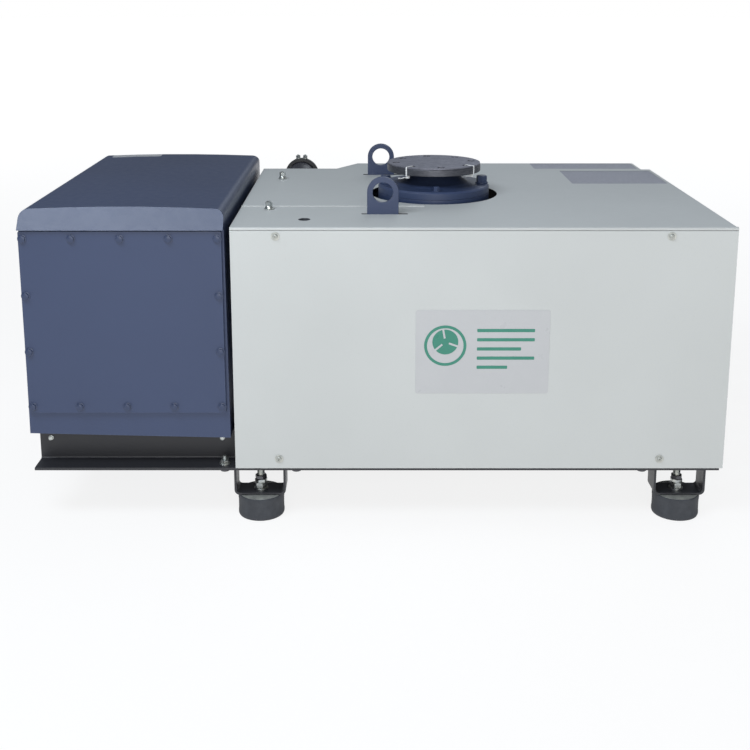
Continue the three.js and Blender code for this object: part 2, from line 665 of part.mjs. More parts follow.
function addMotor() {
  const bell = [
    [118, PLATE_RIGHT + GAP], [MOTOR_RADIUS, PLATE_RIGHT + GAP], [MOTOR_RADIUS, 268], [128, 272], [128, 328],
    [MOTOR_RADIUS, 332], [MOTOR_RADIUS, MOTOR_LEFT - GAP], [118, MOTOR_LEFT - GAP], [118, PLATE_RIGHT + GAP],
  ];
  add('bellhousing', turnedX(bell, AXIS_Y, AXIS_Z), castIron);

  const bore = SHAFT_RADIUS + GAP;
  const housing = [
    [bore, MOTOR_LEFT], [MOTOR_RADIUS, MOTOR_LEFT], [MOTOR_RADIUS, MOTOR_RIGHT], [bore, MOTOR_RIGHT],
    [bore, MOTOR_RIGHT - 16], [97, MOTOR_RIGHT - 16], [97, MOTOR_LEFT + 16], [bore, MOTOR_LEFT + 16],
    [bore, MOTOR_LEFT],
  ];
  add('motor_housing', turnedX(housing, AXIS_Y, AXIS_Z), aluminium);

  const shaft = [
    [0, MOTOR_SHAFT_START], [SHAFT_RADIUS, MOTOR_SHAFT_START], [SHAFT_RADIUS, 372], [95, 372],
    [95, 594], [SHAFT_RADIUS, 594], [SHAFT_RADIUS, MOTOR_SHAFT_END], [0, MOTOR_SHAFT_END],
  ];
  add('motor_rotor', turnedX(shaft, AXIS_Y, AXIS_Z), steel);

  const blades = [0, 60, 120, 180, 240, 300].map((angle) =>
    box(632, 656, 38, 122, -2, 2)
      .rotateX(THREE.MathUtils.degToRad(angle))
      .translate(0, AXIS_Y, AXIS_Z));
  add('motor_fan', join(turnedX(tube(bore, 42, 630, 660), AXIS_Y, AXIS_Z), ...blades), blackPlastic);

  const cowl = [
    [143, MOTOR_RIGHT + GAP], [147, MOTOR_RIGHT + GAP], [147, FAN_COVER_RIGHT - 8],
    [139, FAN_COVER_RIGHT], [75, FAN_COVER_RIGHT], [75, FAN_COVER_RIGHT - 4],
    [137, FAN_COVER_RIGHT - 4], [143, FAN_COVER_RIGHT - 10], [143, MOTOR_RIGHT + GAP],
  ];
  add('motor_fan_cover', turnedX(cowl, AXIS_Y, AXIS_Z), frameBlack);

  const { left, right, halfDepth, height } = TERMINAL_BOX;
  const terminal = roundedRectangle(left, right, AXIS_Y - halfDepth, AXIS_Y + halfDepth, 8);
  const top = AXIS_Z + MOTOR_RADIUS;
  add('motor_terminal_box', prismZ(terminal, top + GAP, top + height, 2), aluminium);
}

// ---- hood ----

// closed outline of a folded sheet: the outer line, and the same line moved in by the sheet's thickness
function foldedSheet(points, thickness) {
  const outer = points.map(([x, y]) => new THREE.Vector2(x, y));
  const normal = (a, b) => new THREE.Vector2(b.y - a.y, a.x - b.x).normalize();
  const inner = outer.map((point, index) => {
    const before = index > 0 ? normal(outer[index - 1], point) : null;
    const after = index < outer.length - 1 ? normal(point, outer[index + 1]) : null;
    const mean = before && after ? before.clone().add(after).normalize() : before ?? after;
    const stretch = thickness / mean.dot(before ?? after);
    return point.clone().addScaledVector(mean, stretch);
  });
  return new THREE.Shape([...outer, ...inner.reverse()]);
}

// front panel: a tray folded back along its top, bottom and left edges
function addFrontPanel() {
  const front = HOOD_FRONT;
  const top = 640.7;
  const lip = front + 20;
  const bend = 4;
  const profile = new THREE.Shape();
  profile.moveTo(lip, HOOD_BOTTOM);
  profile.lineTo(front, HOOD_BOTTOM);
  profile.absarc(front + bend, top - bend, bend, Math.PI, Math.PI / 2, true);
  profile.lineTo(lip, top);
  profile.lineTo(lip, top - SHEET);
  profile.absarc(front + bend, top - bend, bend - SHEET, Math.PI / 2, Math.PI);
  profile.lineTo(front + SHEET, HOOD_BOTTOM + SHEET);
  profile.lineTo(lip, HOOD_BOTTOM + SHEET);
  const panel = prismX(profile, HOOD_LEFT, RIGHT, 4);
  const notch = box(SIDE_RIGHT - 3, RIGHT + 1, front + SHEET, lip + 1, HOOD_BOTTOM - 1, top + 1);
  const leftFold = box(HOOD_LEFT, HOOD_LEFT + SHEET, front + 1, lip, HOOD_BOTTOM + 1, top - 1);
  add('front_panel', join(cut(panel, notch), leftFold), hoodGrey);
}

// side and rear walls: a flat right panel and one folded rear panel with a hole for the exhaust pipe
function addHoodWalls() {
  const bottom = HOOD_BOTTOM + GAP;
  const top = HOOD_TOP - SHEET - GAP;
  const inside = SIDE_RIGHT - SHEET;
  const front = HOOD_FRONT + SHEET + 2;
  add('right_panel', box(inside, SIDE_RIGHT, front, REAR_STEP_Y, bottom, top), hoodGrey);
  const outline = foldedSheet([
    [HOOD_LEFT, REAR_LEFT_Y], [CHAMFER_LEFT, REAR_LEFT_Y], [REAR_BUMP_LEFT, BACK], [REAR_BUMP_RIGHT, BACK],
    [REAR_BUMP_RIGHT, REAR_STEP_Y], [inside - GAP, REAR_STEP_Y],
  ], SHEET);
  const cutter = rod(EXHAUST_RADIUS + 5, REAR_LEFT_Y - 20, REAR_LEFT_Y + 20);
  const hole = turnedY(cutter, EXHAUST_X, 600);
  const webOuter = RAIL_WEB_INNER + RAIL_THICKNESS;
  const notchTop = RAIL_WEB_TOP + 1.5;
  const beamEnd = BEAM_MIDDLE[1] + 2;
  const beamNotch = box(HOOD_LEFT - 1, beamEnd, REAR_LEFT_Y - 5, REAR_LEFT_Y + 5, 0, notchTop);
  const railNotch = box(CHAMFER_LEFT, RIGHT, RAIL_WEB_INNER - 1.5, webOuter + 5, 0, notchTop);
  add('rear_panel', cut(prismZ(outline, bottom, top), hole, beamNotch, railNotch), hoodGrey);
}

function rectangle({ left, right, front, back }, shrink = 0) {
  return roundedRectangle(left + shrink, right - shrink, front + shrink, back - shrink, 4);
}

function eyeSlot(y) {
  return roundedRectangle(EYE_X - 46, EYE_X + 54, y - 7, y + 7, 3);
}

// tool that cuts a shape right through the hood's top sheet
function throughTop(shape, curveSegments) {
  return prismZ(shape, HOOD_TOP - SHEET - 5, HOOD_TOP + 5, curveSegments);
}

// angles at which the lid's right edge crosses the round opening for the inlet
const openingAngle = (edge) => Math.acos((edge - INLET_X) / INLET_OPENING_RADIUS);

// top panel: everything but the service lid, with a round fold along the front
function addTopPanel() {
  const bottom = HOOD_TOP - SHEET;
  const edge = LID_RIGHT + 0.5;
  const angle = openingAngle(edge);
  const outline = new THREE.Shape();
  outline.moveTo(HOOD_LEFT, HOOD_FRONT + 6);
  outline.lineTo(SIDE_RIGHT, HOOD_FRONT + 6);
  outline.lineTo(SIDE_RIGHT, REAR_STEP_Y);
  outline.lineTo(REAR_BUMP_RIGHT, REAR_STEP_Y);
  outline.lineTo(REAR_BUMP_RIGHT, BACK);
  outline.lineTo(edge, BACK);
  outline.absarc(INLET_X, AXIS_Y, INLET_OPENING_RADIUS, angle, -angle, true);
  outline.lineTo(edge, LID_FRONT - 0.5);
  outline.lineTo(HOOD_LEFT, LID_FRONT - 0.5);
  const [boltX, boltY] = LID_BOLTS.lid_bolt_front;
  const sheet = cut(
    prismZ(outline, bottom, HOOD_TOP, 16),
    throughTop(rectangle(FRONT_VENT), 1), throughTop(rectangle(REAR_VENT), 1),
    throughTop(eyeSlot(EYE_Y[0]), 2),
    throughTop(circle(ACCESS_HOLE.x, ACCESS_HOLE.y, ACCESS_HOLE.radius), 8),
    throughTop(circle(boltX, boltY, LID_BOLT_HOLE_RADIUS), 5),
  );
  const bend = 4;
  const bendY = HOOD_FRONT + bend;
  const bendZ = HOOD_TOP - bend;
  const fold = new THREE.Shape();
  fold.moveTo(HOOD_FRONT, bottom - 3);
  fold.lineTo(HOOD_FRONT, bendZ);
  fold.absarc(bendY, bendZ, bend, Math.PI, Math.PI / 2, true);
  fold.lineTo(HOOD_FRONT + 7, HOOD_TOP);
  fold.lineTo(HOOD_FRONT + 7, bottom);
  fold.absarc(bendY, bendZ, bend - SHEET, Math.PI / 2, Math.PI);
  fold.lineTo(HOOD_FRONT + SHEET, bottom - 3);
  add('top_panel', join(sheet, prismX(fold, HOOD_LEFT, RIGHT, 4)), hoodGrey);
}

// service lid over the oil filter and the pump, with a hemmed front edge
function addServiceLid() {
  const bottom = HOOD_TOP - SHEET;
  const angle = openingAngle(LID_RIGHT);
  const outline = new THREE.Shape();
  outline.moveTo(HOOD_LEFT, LID_FRONT + 2);
  outline.lineTo(LID_RIGHT, LID_FRONT + 2);
  outline.absarc(INLET_X, AXIS_Y, INLET_OPENING_RADIUS, -angle, angle, true);
  outline.lineTo(LID_RIGHT, BACK);
  outline.lineTo(REAR_BUMP_LEFT, BACK);
  outline.lineTo(CHAMFER_LEFT, REAR_LEFT_Y);
  outline.lineTo(HOOD_LEFT, REAR_LEFT_Y);
  const [boltX, boltY] = LID_BOLTS.lid_bolt_rear;
  const sheet = cut(
    prismZ(outline, bottom, HOOD_TOP, 16),
    throughTop(eyeSlot(EYE_Y[1]), 2), throughTop(circle(boltX, boltY, LID_BOLT_HOLE_RADIUS), 5),
  );
  const hem = roundedRectangle(LID_FRONT, LID_FRONT + 6, bottom, HOOD_TOP + 2, 1.5);
  add('service_lid', join(sheet, prismX(hem, HOOD_LEFT, LID_RIGHT, 2)), hoodGrey);
}

// lid bolt: shank, bell-shaped washer and hexagon head
function addLidBolts() {
  const seat = HOOD_TOP + GAP;
  for (const [name, [x, y]] of Object.entries(LID_BOLTS)) {
    const body = [
      [0, seat - 20], [4, seat - 20], [4, seat], [10.5, seat],
      [10.5, seat + 2], [7.5, seat + 9], [0, seat + 9],
    ];
    const head = new THREE.CylinderGeometry(7.5, 7.5, 16, 6);
    head.rotateX(Math.PI / 2).translate(x, y, seat + 16);
    add(name, join(turnedZ(body, x, y, 16), head), zinc);
  }
}

function addVentGrilles() {
  const bottom = HOOD_TOP - SHEET + 0.2;
  add('vent_grille_front', prismZ(rectangle(FRONT_VENT, GAP), bottom, HOOD_TOP - 0.3, 3), ventGrey);
  add('vent_grille_rear', prismZ(rectangle(REAR_VENT, GAP), bottom, HOOD_TOP - 0.3, 3), ventGrey);
}

function addExhaustPipe() {
  const extrudePath = new THREE.CatmullRomCurve3([
    EXHAUST_START, vector(-285, 234, 590), vector(-236, 256, 591), vector(-207, 306, 595),
    vector(EXHAUST_X, 345, 603), vector(EXHAUST_X, 380, 615),
    vector(EXHAUST_X, 404, EXHAUST_END_Z), vector(EXHAUST_X, BACK - 1.5, EXHAUST_END_Z),
  ]);
  const ring = withHole(circle(0, 0, EXHAUST_RADIUS), circle(0, 0, EXHAUST_BORE_RADIUS));
  const pipe = new THREE.ExtrudeGeometry(ring, { extrudePath, steps: 12, curveSegments: 9 });
  add('exhaust_pipe', pipe, aluminium);
}

addRails();
addCrossBeams();
addFeet();
addOilCasing();
addExhaustFilters();
addStator();
addEndPlates();
addRotorAndVanes();
addInlet();
addLiftingEyes();
addOilCircuit();
addCoupling();
addMotor();
addFrontPanel();
addHoodWalls();
addTopPanel();
addServiceLid();
addLidBolts();
addVentGrilles();
addExhaustPipe();

export default pump;
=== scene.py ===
"""Looks of the rotary vane vacuum pump: its finishes, fasteners, grilles, label and studio.

Positions are in millimetres in the CAD frame until a helper turns them into metres.
"""

import json
import math
import random

import bmesh
import bpy
from mathutils import Matrix, Vector


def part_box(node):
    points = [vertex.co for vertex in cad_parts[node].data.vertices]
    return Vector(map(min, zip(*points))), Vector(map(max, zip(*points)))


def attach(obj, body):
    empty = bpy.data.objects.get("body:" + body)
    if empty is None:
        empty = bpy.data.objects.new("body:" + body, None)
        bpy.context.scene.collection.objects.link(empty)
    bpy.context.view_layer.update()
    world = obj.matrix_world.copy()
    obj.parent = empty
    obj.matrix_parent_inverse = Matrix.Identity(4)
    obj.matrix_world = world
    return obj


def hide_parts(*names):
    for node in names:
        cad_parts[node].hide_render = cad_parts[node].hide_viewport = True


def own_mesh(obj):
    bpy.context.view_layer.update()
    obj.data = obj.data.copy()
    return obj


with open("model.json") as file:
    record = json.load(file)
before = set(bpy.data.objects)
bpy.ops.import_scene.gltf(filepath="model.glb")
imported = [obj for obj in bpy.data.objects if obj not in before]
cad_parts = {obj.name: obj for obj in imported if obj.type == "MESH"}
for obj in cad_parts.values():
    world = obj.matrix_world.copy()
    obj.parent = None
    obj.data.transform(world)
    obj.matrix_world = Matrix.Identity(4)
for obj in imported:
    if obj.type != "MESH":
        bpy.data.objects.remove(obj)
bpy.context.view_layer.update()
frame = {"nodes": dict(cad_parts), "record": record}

MM = 0.001
TURN = 2 * math.pi
CHASSIS = "chassis"


def box_mm(node):
    """Lowest and highest corner of a CAD node in millimetres."""
    low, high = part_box(node)
    return low / MM, high / MM


# ---- finishes ----


class Finish:
    """A procedural material: one Principled shader and the nodes that feed it."""

    def __init__(self, name, **sockets):
        self.material = bpy.data.materials.new(name)
        self.material.use_nodes = True
        self.tree = self.material.node_tree
        self.shader = self.tree.nodes["Principled BSDF"]
        for socket, value in sockets.items():
            self.shader.inputs[socket.replace("_", " ")].default_value = value
        self.place = self.node("ShaderNodeTexCoord").outputs["Object"]
        self.normal = None

    def node(self, kind, **settings):
        made = self.tree.nodes.new(kind)
        for name, value in settings.items():
            setattr(made, name, value)
        return made

    def feed(self, socket, value):
        if isinstance(value, bpy.types.NodeSocket):
            self.tree.links.new(value, socket)
        else:
            socket.default_value = value

    def stretched(self, scale):
        """The object's own coordinates, stretched by three factors."""
        mapping = self.node("ShaderNodeMapping")
        self.feed(mapping.inputs["Vector"], self.place)
        mapping.inputs["Scale"].default_value = scale
        return mapping.outputs["Vector"]

    def noise(self, scale, detail=3.0, roughness=0.5, stretch=None, distortion=0.0):
        made = self.node("ShaderNodeTexNoise")
        self.feed(made.inputs["Vector"], self.stretched(stretch) if stretch else self.place)
        made.inputs["Scale"].default_value = scale
        made.inputs["Detail"].default_value = detail
        made.inputs["Roughness"].default_value = roughness
        made.inputs["Distortion"].default_value = distortion
        return made.outputs["Fac"]

    def maths(self, operation, first, second):
        made = self.node("ShaderNodeMath", operation=operation)
        self.feed(made.inputs[0], first)
        self.feed(made.inputs[1], second)
        return made.outputs["Value"]

    def above(self, height):
        """1 where the object is higher than a height in millimetres, and 0 below it."""
        apart = self.node("ShaderNodeSeparateXYZ")
        self.feed(apart.inputs["Vector"], self.place)
        return self.maths("GREATER_THAN", apart.outputs["Z"], height * MM)

    def looks_towards(self, centre):
        """1 on faces that look towards a point in metres, and 0 on all others."""
        towards = self.node("ShaderNodeVectorMath", operation="SUBTRACT")
        towards.inputs[0].default_value = centre
        self.feed(towards.inputs[1], self.place)
        dot = self.node("ShaderNodeVectorMath", operation="DOT_PRODUCT")
        self.feed(dot.inputs[0], towards.outputs["Vector"])
        self.feed(dot.inputs[1], self.node("ShaderNodeTexCoord").outputs["Normal"])
        return self.maths("GREATER_THAN", dot.outputs["Value"], 0.0)

    def spread(self, value, low, high, to_low, to_high):
        made = self.node("ShaderNodeMapRange")
        self.feed(made.inputs["Value"], value)
        for name, number in (
            ("From Min", low), ("From Max", high), ("To Min", to_low), ("To Max", to_high),
        ):
            made.inputs[name].default_value = number
        return made.outputs["Result"]

    def mix(self, factor, first, second):
        made = self.node("ShaderNodeMix", data_type="RGBA")
        self.feed(made.inputs["Factor"], factor)
        self.feed(made.inputs["A"], opaque(first))
        self.feed(made.inputs["B"], opaque(second))
        return made.outputs["Result"]

    def bump(self, height, strength, distance):
        made = self.node("ShaderNodeBump")
        self.feed(made.inputs["Height"], height)
        made.inputs["Strength"].default_value = strength
        made.inputs["Distance"].default_value = distance
        if self.normal:
            self.feed(made.inputs["Normal"], self.normal)
        self.normal = made.outputs["Normal"]
        self.feed(self.shader.inputs["Normal"], self.normal)

    def edge_wear_and_highlight(self, radius, low=0.02, high=0.16):
        """How much a point lies on an outer edge, from 0 to 1, broken up by noise. It is used to
        lighten edges, partly as wear and partly as a painted highlight.
        """
        rounded = self.node("ShaderNodeBevel", samples=4)
        rounded.inputs["Radius"].default_value = radius
        flat = self.node("ShaderNodeNewGeometry").outputs["Normal"]
        dot = self.node("ShaderNodeVectorMath", operation="DOT_PRODUCT")
        self.feed(dot.inputs[0], rounded.outputs["Normal"])
        self.feed(dot.inputs[1], flat)
        edge = self.spread(dot.outputs["Value"], 1 - low, 1 - high, 0.0, 1.0)
        return self.maths("MULTIPLY", edge, self.spread(self.noise(180, 4), 0.42, 0.68, 0.0, 1.0))

    def colour(self, value):
        self.feed(self.shader.inputs["Base Color"], value)

    def roughness(self, value):
        self.feed(self.shader.inputs["Roughness"], value)


def opaque(value):
    return value if isinstance(value, bpy.types.NodeSocket) else (*value, 1.0)


def scaled(colour, factor):
    return tuple(min(1.0, channel * factor) for channel in colour)


def paint(name, colour, rough, peel=0.25, wear_and_highlight=None, spread=0.035, painted_shade_centre=None, **sockets):
    """Sprayed paint: orange peel, slow tone changes, and lighter edges, partly worn where the coat is
    thin and partly a painted highlight.

    A point in metres may be given: faces that look towards it, the hood's inner faces, are painted near
    black as painted shade, with a fibre grain, and made rough.
    """
    made = Finish(name, **sockets)
    slow = made.spread(made.noise(2.6, 3), 0.3, 0.7, 0.0, 1.0)
    base = made.mix(slow, scaled(colour, 1 - spread), scaled(colour, 1 + spread))
    specks = made.spread(made.noise(420, 2), 0.66, 0.74, 0.0, 0.35)
    base = made.mix(specks, base, scaled(colour, 0.82))
    if wear_and_highlight:
        # lighter edges: partly wear, partly a painted highlight
        base = made.mix(made.edge_wear_and_highlight(0.0016), base, wear_and_highlight)
    rub = made.spread(made.noise(40, 4, 0.6), 0.3, 0.7, rough - 0.02, rough + 0.03)
    if painted_shade_centre:
        # painted shade: faces turned towards the given point are painted near black
        painted_shade_inside = made.looks_towards(painted_shade_centre)
        fibres = made.spread(made.noise(900, 4, 0.7), 0.3, 0.7, 0.0, 1.0)
        base = made.mix(painted_shade_inside, base, made.mix(fibres, (0.006, 0.006, 0.007), (0.02, 0.02, 0.022)))
        rub = made.maths("MAXIMUM", rub, made.maths("MULTIPLY", painted_shade_inside, 0.95))
    made.colour(base)
    made.roughness(rub)
    made.bump(made.noise(520, 2, 0.4), peel, 0.0002)
    return made.material


def cast_paint(name, colour, rough, wear_and_highlight):
    """Paint over a sand casting: the mould's grain shows through the coat."""
    made = Finish(name)
    slow = made.spread(made.noise(3.1, 3), 0.3, 0.7, 0.0, 1.0)
    base = made.mix(slow, scaled(colour, 0.95), scaled(colour, 1.05))
    # lighter edges: partly wear, partly a painted highlight
    base = made.mix(made.edge_wear_and_highlight(0.0022), base, wear_and_highlight)
    made.colour(base)
    made.roughness(made.spread(made.noise(60, 4, 0.6), 0.3, 0.7, rough - 0.02, rough + 0.03))
    made.bump(made.noise(140, 4, 0.55), 0.22, 0.0006)
    made.bump(made.noise(620, 2, 0.4), 0.2, 0.0002)
    return made.material


def bare_metal(name, colour, rough, grain=(1, 1, 1), tint=None, pits=0.15, metal=1.0):
    """Plated or machined metal: fine directional marks, cloudy tone and light scuffs."""
    made = Finish(name, Metallic=metal)
    cloud = made.spread(made.noise(60, 4, 0.6), 0.35, 0.65, 0.0, 1.0)
    base = made.mix(cloud, scaled(colour, 0.86), tint or scaled(colour, 1.08))
    scuffs = made.spread(made.noise(900, 2, stretch=grain), 0.6, 0.75, 0.0, 0.5)
    made.colour(made.mix(scuffs, base, scaled(colour, 0.6)))
    marks = made.noise(260, 3, stretch=grain)
    made.roughness(made.spread(marks, 0.3, 0.7, rough - 0.08, rough + 0.12))
    made.bump(made.noise(1400, 2, stretch=grain), pits, 0.00015)
    return made.material


def moulded(name, colour, rough, grain=700, depth=0.3, dust=None):
    """Moulded rubber or plastic: fine grain, and dust that gathers in patches."""
    made = Finish(name)
    patches = made.spread(made.noise(22, 4, 0.65), 0.45, 0.75, 0.0, 0.55)
    made.colour(made.mix(patches, colour, dust or scaled(colour, 1.5)))
    made.roughness(made.spread(made.noise(30, 3), 0.3, 0.7, rough - 0.08, min(1.0, rough + 0.08)))
    made.bump(made.noise(grain, 3, 0.6), depth, 0.0003)
    return made.material


def fleece_finish():
    made = Finish("filter_fleece")
    fibres = made.noise(700, 4, 0.7, stretch=(1, 0.08, 1), distortion=1.2)
    light = made.spread(fibres, 0.35, 0.7, 0.0, 1.0)
    made.colour(made.mix(light, (0.62, 0.57, 0.45), (0.86, 0.83, 0.74)))
    made.roughness(made.spread(fibres, 0.3, 0.7, 0.85, 1.0))
    made.bump(fibres, 0.7, 0.0008)
    return made.material


def glass_finish():
    made = Finish("glass", Transmission_Weight=0.9, IOR=1.5)
    smear = made.noise(40, 3, 0.6)
    film = made.spread(smear, 0.4, 0.7, 0.0, 0.5)
    made.colour(made.mix(film, (0.9, 0.95, 0.92), (0.78, 0.84, 0.76)))
    made.roughness(made.spread(smear, 0.3, 0.7, 0.03, 0.12))
    made.bump(made.noise(90, 2), 0.05, 0.0003)
    return made.material


def neck_finish():
    """Painted casting whose flange is left as dark turned steel. Above the neck's foot the blue is
    painted darker, as painted shade on the neck.
    """
    made = Finish("inlet_neck")
    bare = made.above(FLANGE_LOW - 0.5)
    slow = made.spread(made.noise(3.1, 3), 0.3, 0.7, 0.0, 1.0)
    # painted shade: above the neck's foot the blue is painted at about half its brightness
    painted_shade_blue = made.mix(slow, scaled(BLUE, 0.5), scaled(BLUE, 0.62))
    full = made.mix(slow, scaled(BLUE, 0.92), scaled(BLUE, 1.09))
    coat = made.mix(made.above(NECK_FOOT), full, painted_shade_blue)
    lathe = made.noise(500, 3, stretch=(0.15, 0.15, 1))
    marks = made.spread(lathe, 0.3, 0.7, 0.0, 1.0)
    steel = made.mix(marks, (0.085, 0.088, 0.104), (0.14, 0.145, 0.165))
    made.colour(made.mix(bare, coat, steel))
    made.feed(made.shader.inputs["Metallic"], made.maths("MULTIPLY", bare, 0.85))
    made.roughness(made.spread(made.noise(14, 4, 0.6), 0.3, 0.7, 0.36, 0.52))
    made.bump(made.noise(140, 4, 0.55), 0.2, 0.0005)
    return made.material


def vane_finish():
    made = Finish("vane_composite")
    layers = made.noise(420, 3, 0.6, stretch=(0.05, 1, 1))
    light = made.spread(layers, 0.35, 0.65, 0.0, 1.0)
    made.colour(made.mix(light, (0.05, 0.042, 0.034), (0.11, 0.09, 0.068)))
    made.roughness(made.spread(layers, 0.3, 0.7, 0.6, 0.85))
    made.bump(layers, 0.3, 0.0002)
    return made.material


def oil_finish():
    made = Finish("oil", Coat_Weight=1.0, Coat_Roughness=0.05)
    depth = made.spread(made.noise(30, 2), 0.3, 0.7, 0.0, 1.0)
    made.colour(made.mix(depth, (0.34, 0.19, 0.03), (0.46, 0.28, 0.06)))
    made.roughness(made.spread(made.noise(60, 2), 0.3, 0.7, 0.08, 0.18))
    made.bump(made.noise(45, 2), 0.08, 0.0004)
    return made.material


def floor_finish():
    """Pale floor that glows more with distance, so that it ends in a white backdrop."""
    made = Finish("studio_floor", Emission_Color=(1, 1, 1, 1))
    far = made.node("ShaderNodeVectorMath", operation="LENGTH")
    made.feed(far.inputs[0], made.place)
    glow = made.spread(far.outputs["Value"], 1.6, 6.5, 0.84, 0.98)
    made.feed(made.shader.inputs["Emission Strength"], glow)
    tone = made.spread(made.noise(0.6, 2), 0.3, 0.7, 0.0, 1.0)
    made.colour(made.mix(tone, (0.15, 0.151, 0.153), (0.165, 0.166, 0.168)))
    made.roughness(made.spread(made.noise(14, 3), 0.3, 0.7, 0.7, 0.85))
    made.bump(made.noise(220, 2), 0.05, 0.0004)
    return made.material


BLUE = (0.033, 0.051, 0.112)
GREY = (0.5, 0.52, 0.515)

# a point inside the hood, in metres. The hood's faces turned towards it are painted near black as
# painted shade.
HOOD_MIDDLE = (0.2, -0.02, 0.38)

# heights on the inlet: where the neck rises from its rim, the flange's underside, the cover's top.
# Above the first, the neck's blue is painted darker as painted shade.
NECK_FOOT, FLANGE_LOW, DISC_TOP = 675.0, 702.0, 721.0

FINISHES = {
    "casing_blue": cast_paint("casing_blue", BLUE, 0.38, wear_and_highlight=(0.1, 0.125, 0.2)),
    "hood_grey": paint("hood_grey", GREY, 0.5, wear_and_highlight=(0.6, 0.62, 0.62), painted_shade_centre=HOOD_MIDDLE),
    "frame_black": paint("frame_black", (0.022, 0.023, 0.028), 0.42, wear_and_highlight=(0.09, 0.09, 0.1)),
    "vent_grey": paint("vent_grey", (0.33, 0.34, 0.395), 0.55, wear_and_highlight=(0.5, 0.51, 0.56)),
    "zinc": bare_metal("zinc", (0.56, 0.6, 0.61), 0.32, tint=(0.64, 0.65, 0.6)),
    "zinc_satin": bare_metal(
        "zinc_satin", (0.42, 0.44, 0.42), 0.42, tint=(0.55, 0.56, 0.52), metal=0.5,
    ),
    "steel": bare_metal("steel", (0.5, 0.51, 0.52), 0.34, grain=(0.1, 1, 1)),
    "flange_grey": bare_metal("flange_grey", (0.26, 0.262, 0.308), 0.6, pits=0.3),
    # the bolts' blue is the casing's blue painted 15% darker, as painted shade on the bolts
    "bolt_blue_painted_shade": cast_paint("bolt_blue_painted_shade", scaled(BLUE, 0.85), 0.36, wear_and_highlight=(0.08, 0.1, 0.17)),
    "exhaust_pipe": paint("exhaust_pipe", (0.03, 0.031, 0.04), 0.45, wear_and_highlight=(0.12, 0.12, 0.14)),
    "inlet_neck": neck_finish(),
    "cast_iron": cast_paint("cast_iron", (0.1, 0.105, 0.11), 0.7, wear_and_highlight=(0.2, 0.2, 0.21)),
    "aluminium": bare_metal("aluminium", (0.6, 0.61, 0.62), 0.42, pits=0.35),
    "rubber": moulded("rubber", (0.034, 0.038, 0.046), 0.72, dust=(0.075, 0.082, 0.095)),
    "elastomer": moulded("elastomer", (0.42, 0.05, 0.03), 0.55),
    "black_plastic": moulded("black_plastic", (0.018, 0.019, 0.021), 0.5, grain=1100),
    "vane_composite": vane_finish(),
    "filter_fleece": fleece_finish(),
    "glass": glass_finish(),
    "oil": oil_finish(),
    "dark_zinc": bare_metal("dark_zinc", (0.13, 0.13, 0.14), 0.4),
    "nylon": moulded(
        "nylon", (0.78, 0.79, 0.8), 0.4, grain=1500, depth=0.1, dust=(0.7, 0.7, 0.68),
    ),
    "label_face": moulded(
        "label_face", (0.455, 0.465, 0.478), 0.34, grain=1600, depth=0.05, dust=(0.48, 0.49, 0.5),
    ),
    "label_green": moulded(
        "label_green", (0.035, 0.21, 0.15), 0.35, grain=1600, depth=0.05, dust=(0.05, 0.25, 0.18),
    ),
}


# ---- CAD nodes ----

SHARP_DEGREES = 35
BEVEL_DEGREES = 32
WELD_DISTANCE = 1e-5
FLAT_DEGREES = 0.6

# width of the rounded edges on the CAD's own solids, in millimetres
EDGE = {
    "casing_blue": 1.5, "hood_grey": 0.7, "frame_black": 0.8, "cast_iron": 1.5, "aluminium": 1.0,
    "steel": 0.5, "zinc": 0.5, "flange_grey": 0.6, "rubber": 1.5,
}


def soft_shading():
    """Modifier tree that shades faces smoothly, apart from edges sharper than SHARP_DEGREES."""
    group = bpy.data.node_groups.new("soft_shading", "GeometryNodeTree")
    group.interface.new_socket("Geometry", in_out="INPUT", socket_type="NodeSocketGeometry")
    group.interface.new_socket("Geometry", in_out="OUTPUT", socket_type="NodeSocketGeometry")
    start, end = group.nodes.new("NodeGroupInput"), group.nodes.new("NodeGroupOutput")
    smooth = group.nodes.new("GeometryNodeSetShadeSmooth")
    sharp = group.nodes.new("GeometryNodeSetShadeSmooth")
    sharp.domain = "EDGE"
    sharp.inputs["Shade Smooth"].default_value = False
    angle = group.nodes.new("GeometryNodeInputMeshEdgeAngle")
    steep = group.nodes.new("FunctionNodeCompare")
    steep.operation = "GREATER_THAN"
    steep.inputs["B"].default_value = math.radians(SHARP_DEGREES)
    group.links.new(start.outputs[0], smooth.inputs["Geometry"])
    group.links.new(smooth.outputs["Geometry"], sharp.inputs["Geometry"])
    group.links.new(angle.outputs["Unsigned Angle"], steep.inputs["A"])
    group.links.new(steep.outputs["Result"], sharp.inputs["Selection"])
    group.links.new(sharp.outputs["Geometry"], end.inputs[0])
    return group


def dress_nodes():
    """Gives each CAD node its finish and softened edges."""
    soft = soft_shading()
    for part in frame["record"]["subparts"]:
        name, slot = part["node"], part["material_slot"]
        node = frame["nodes"][name]
        node.data.materials.clear()
        node.data.materials.append(FINISHES.get(name, FINISHES[slot]))
        weld = node.modifiers.new("weld", "WELD")
        weld.merge_threshold = WELD_DISTANCE
        flat = node.modifiers.new("flat", "DECIMATE")
        flat.decimate_type = "DISSOLVE"
        flat.angle_limit = math.radians(FLAT_DEGREES)
        if slot in EDGE:
            edge = node.modifiers.new("edge", "BEVEL")
            edge.width = EDGE[slot] * MM
            edge.segments = 2
            edge.limit_method = "ANGLE"
            edge.angle_limit = math.radians(BEVEL_DEGREES)
            edge.miter_outer = "MITER_ARC"
        node.modifiers.new("soft", "NODES").node_group = soft
        shade = node.modifiers.new("shade", "WEIGHTED_NORMAL")
        shade.keep_sharp = True


# ---- meshes ----


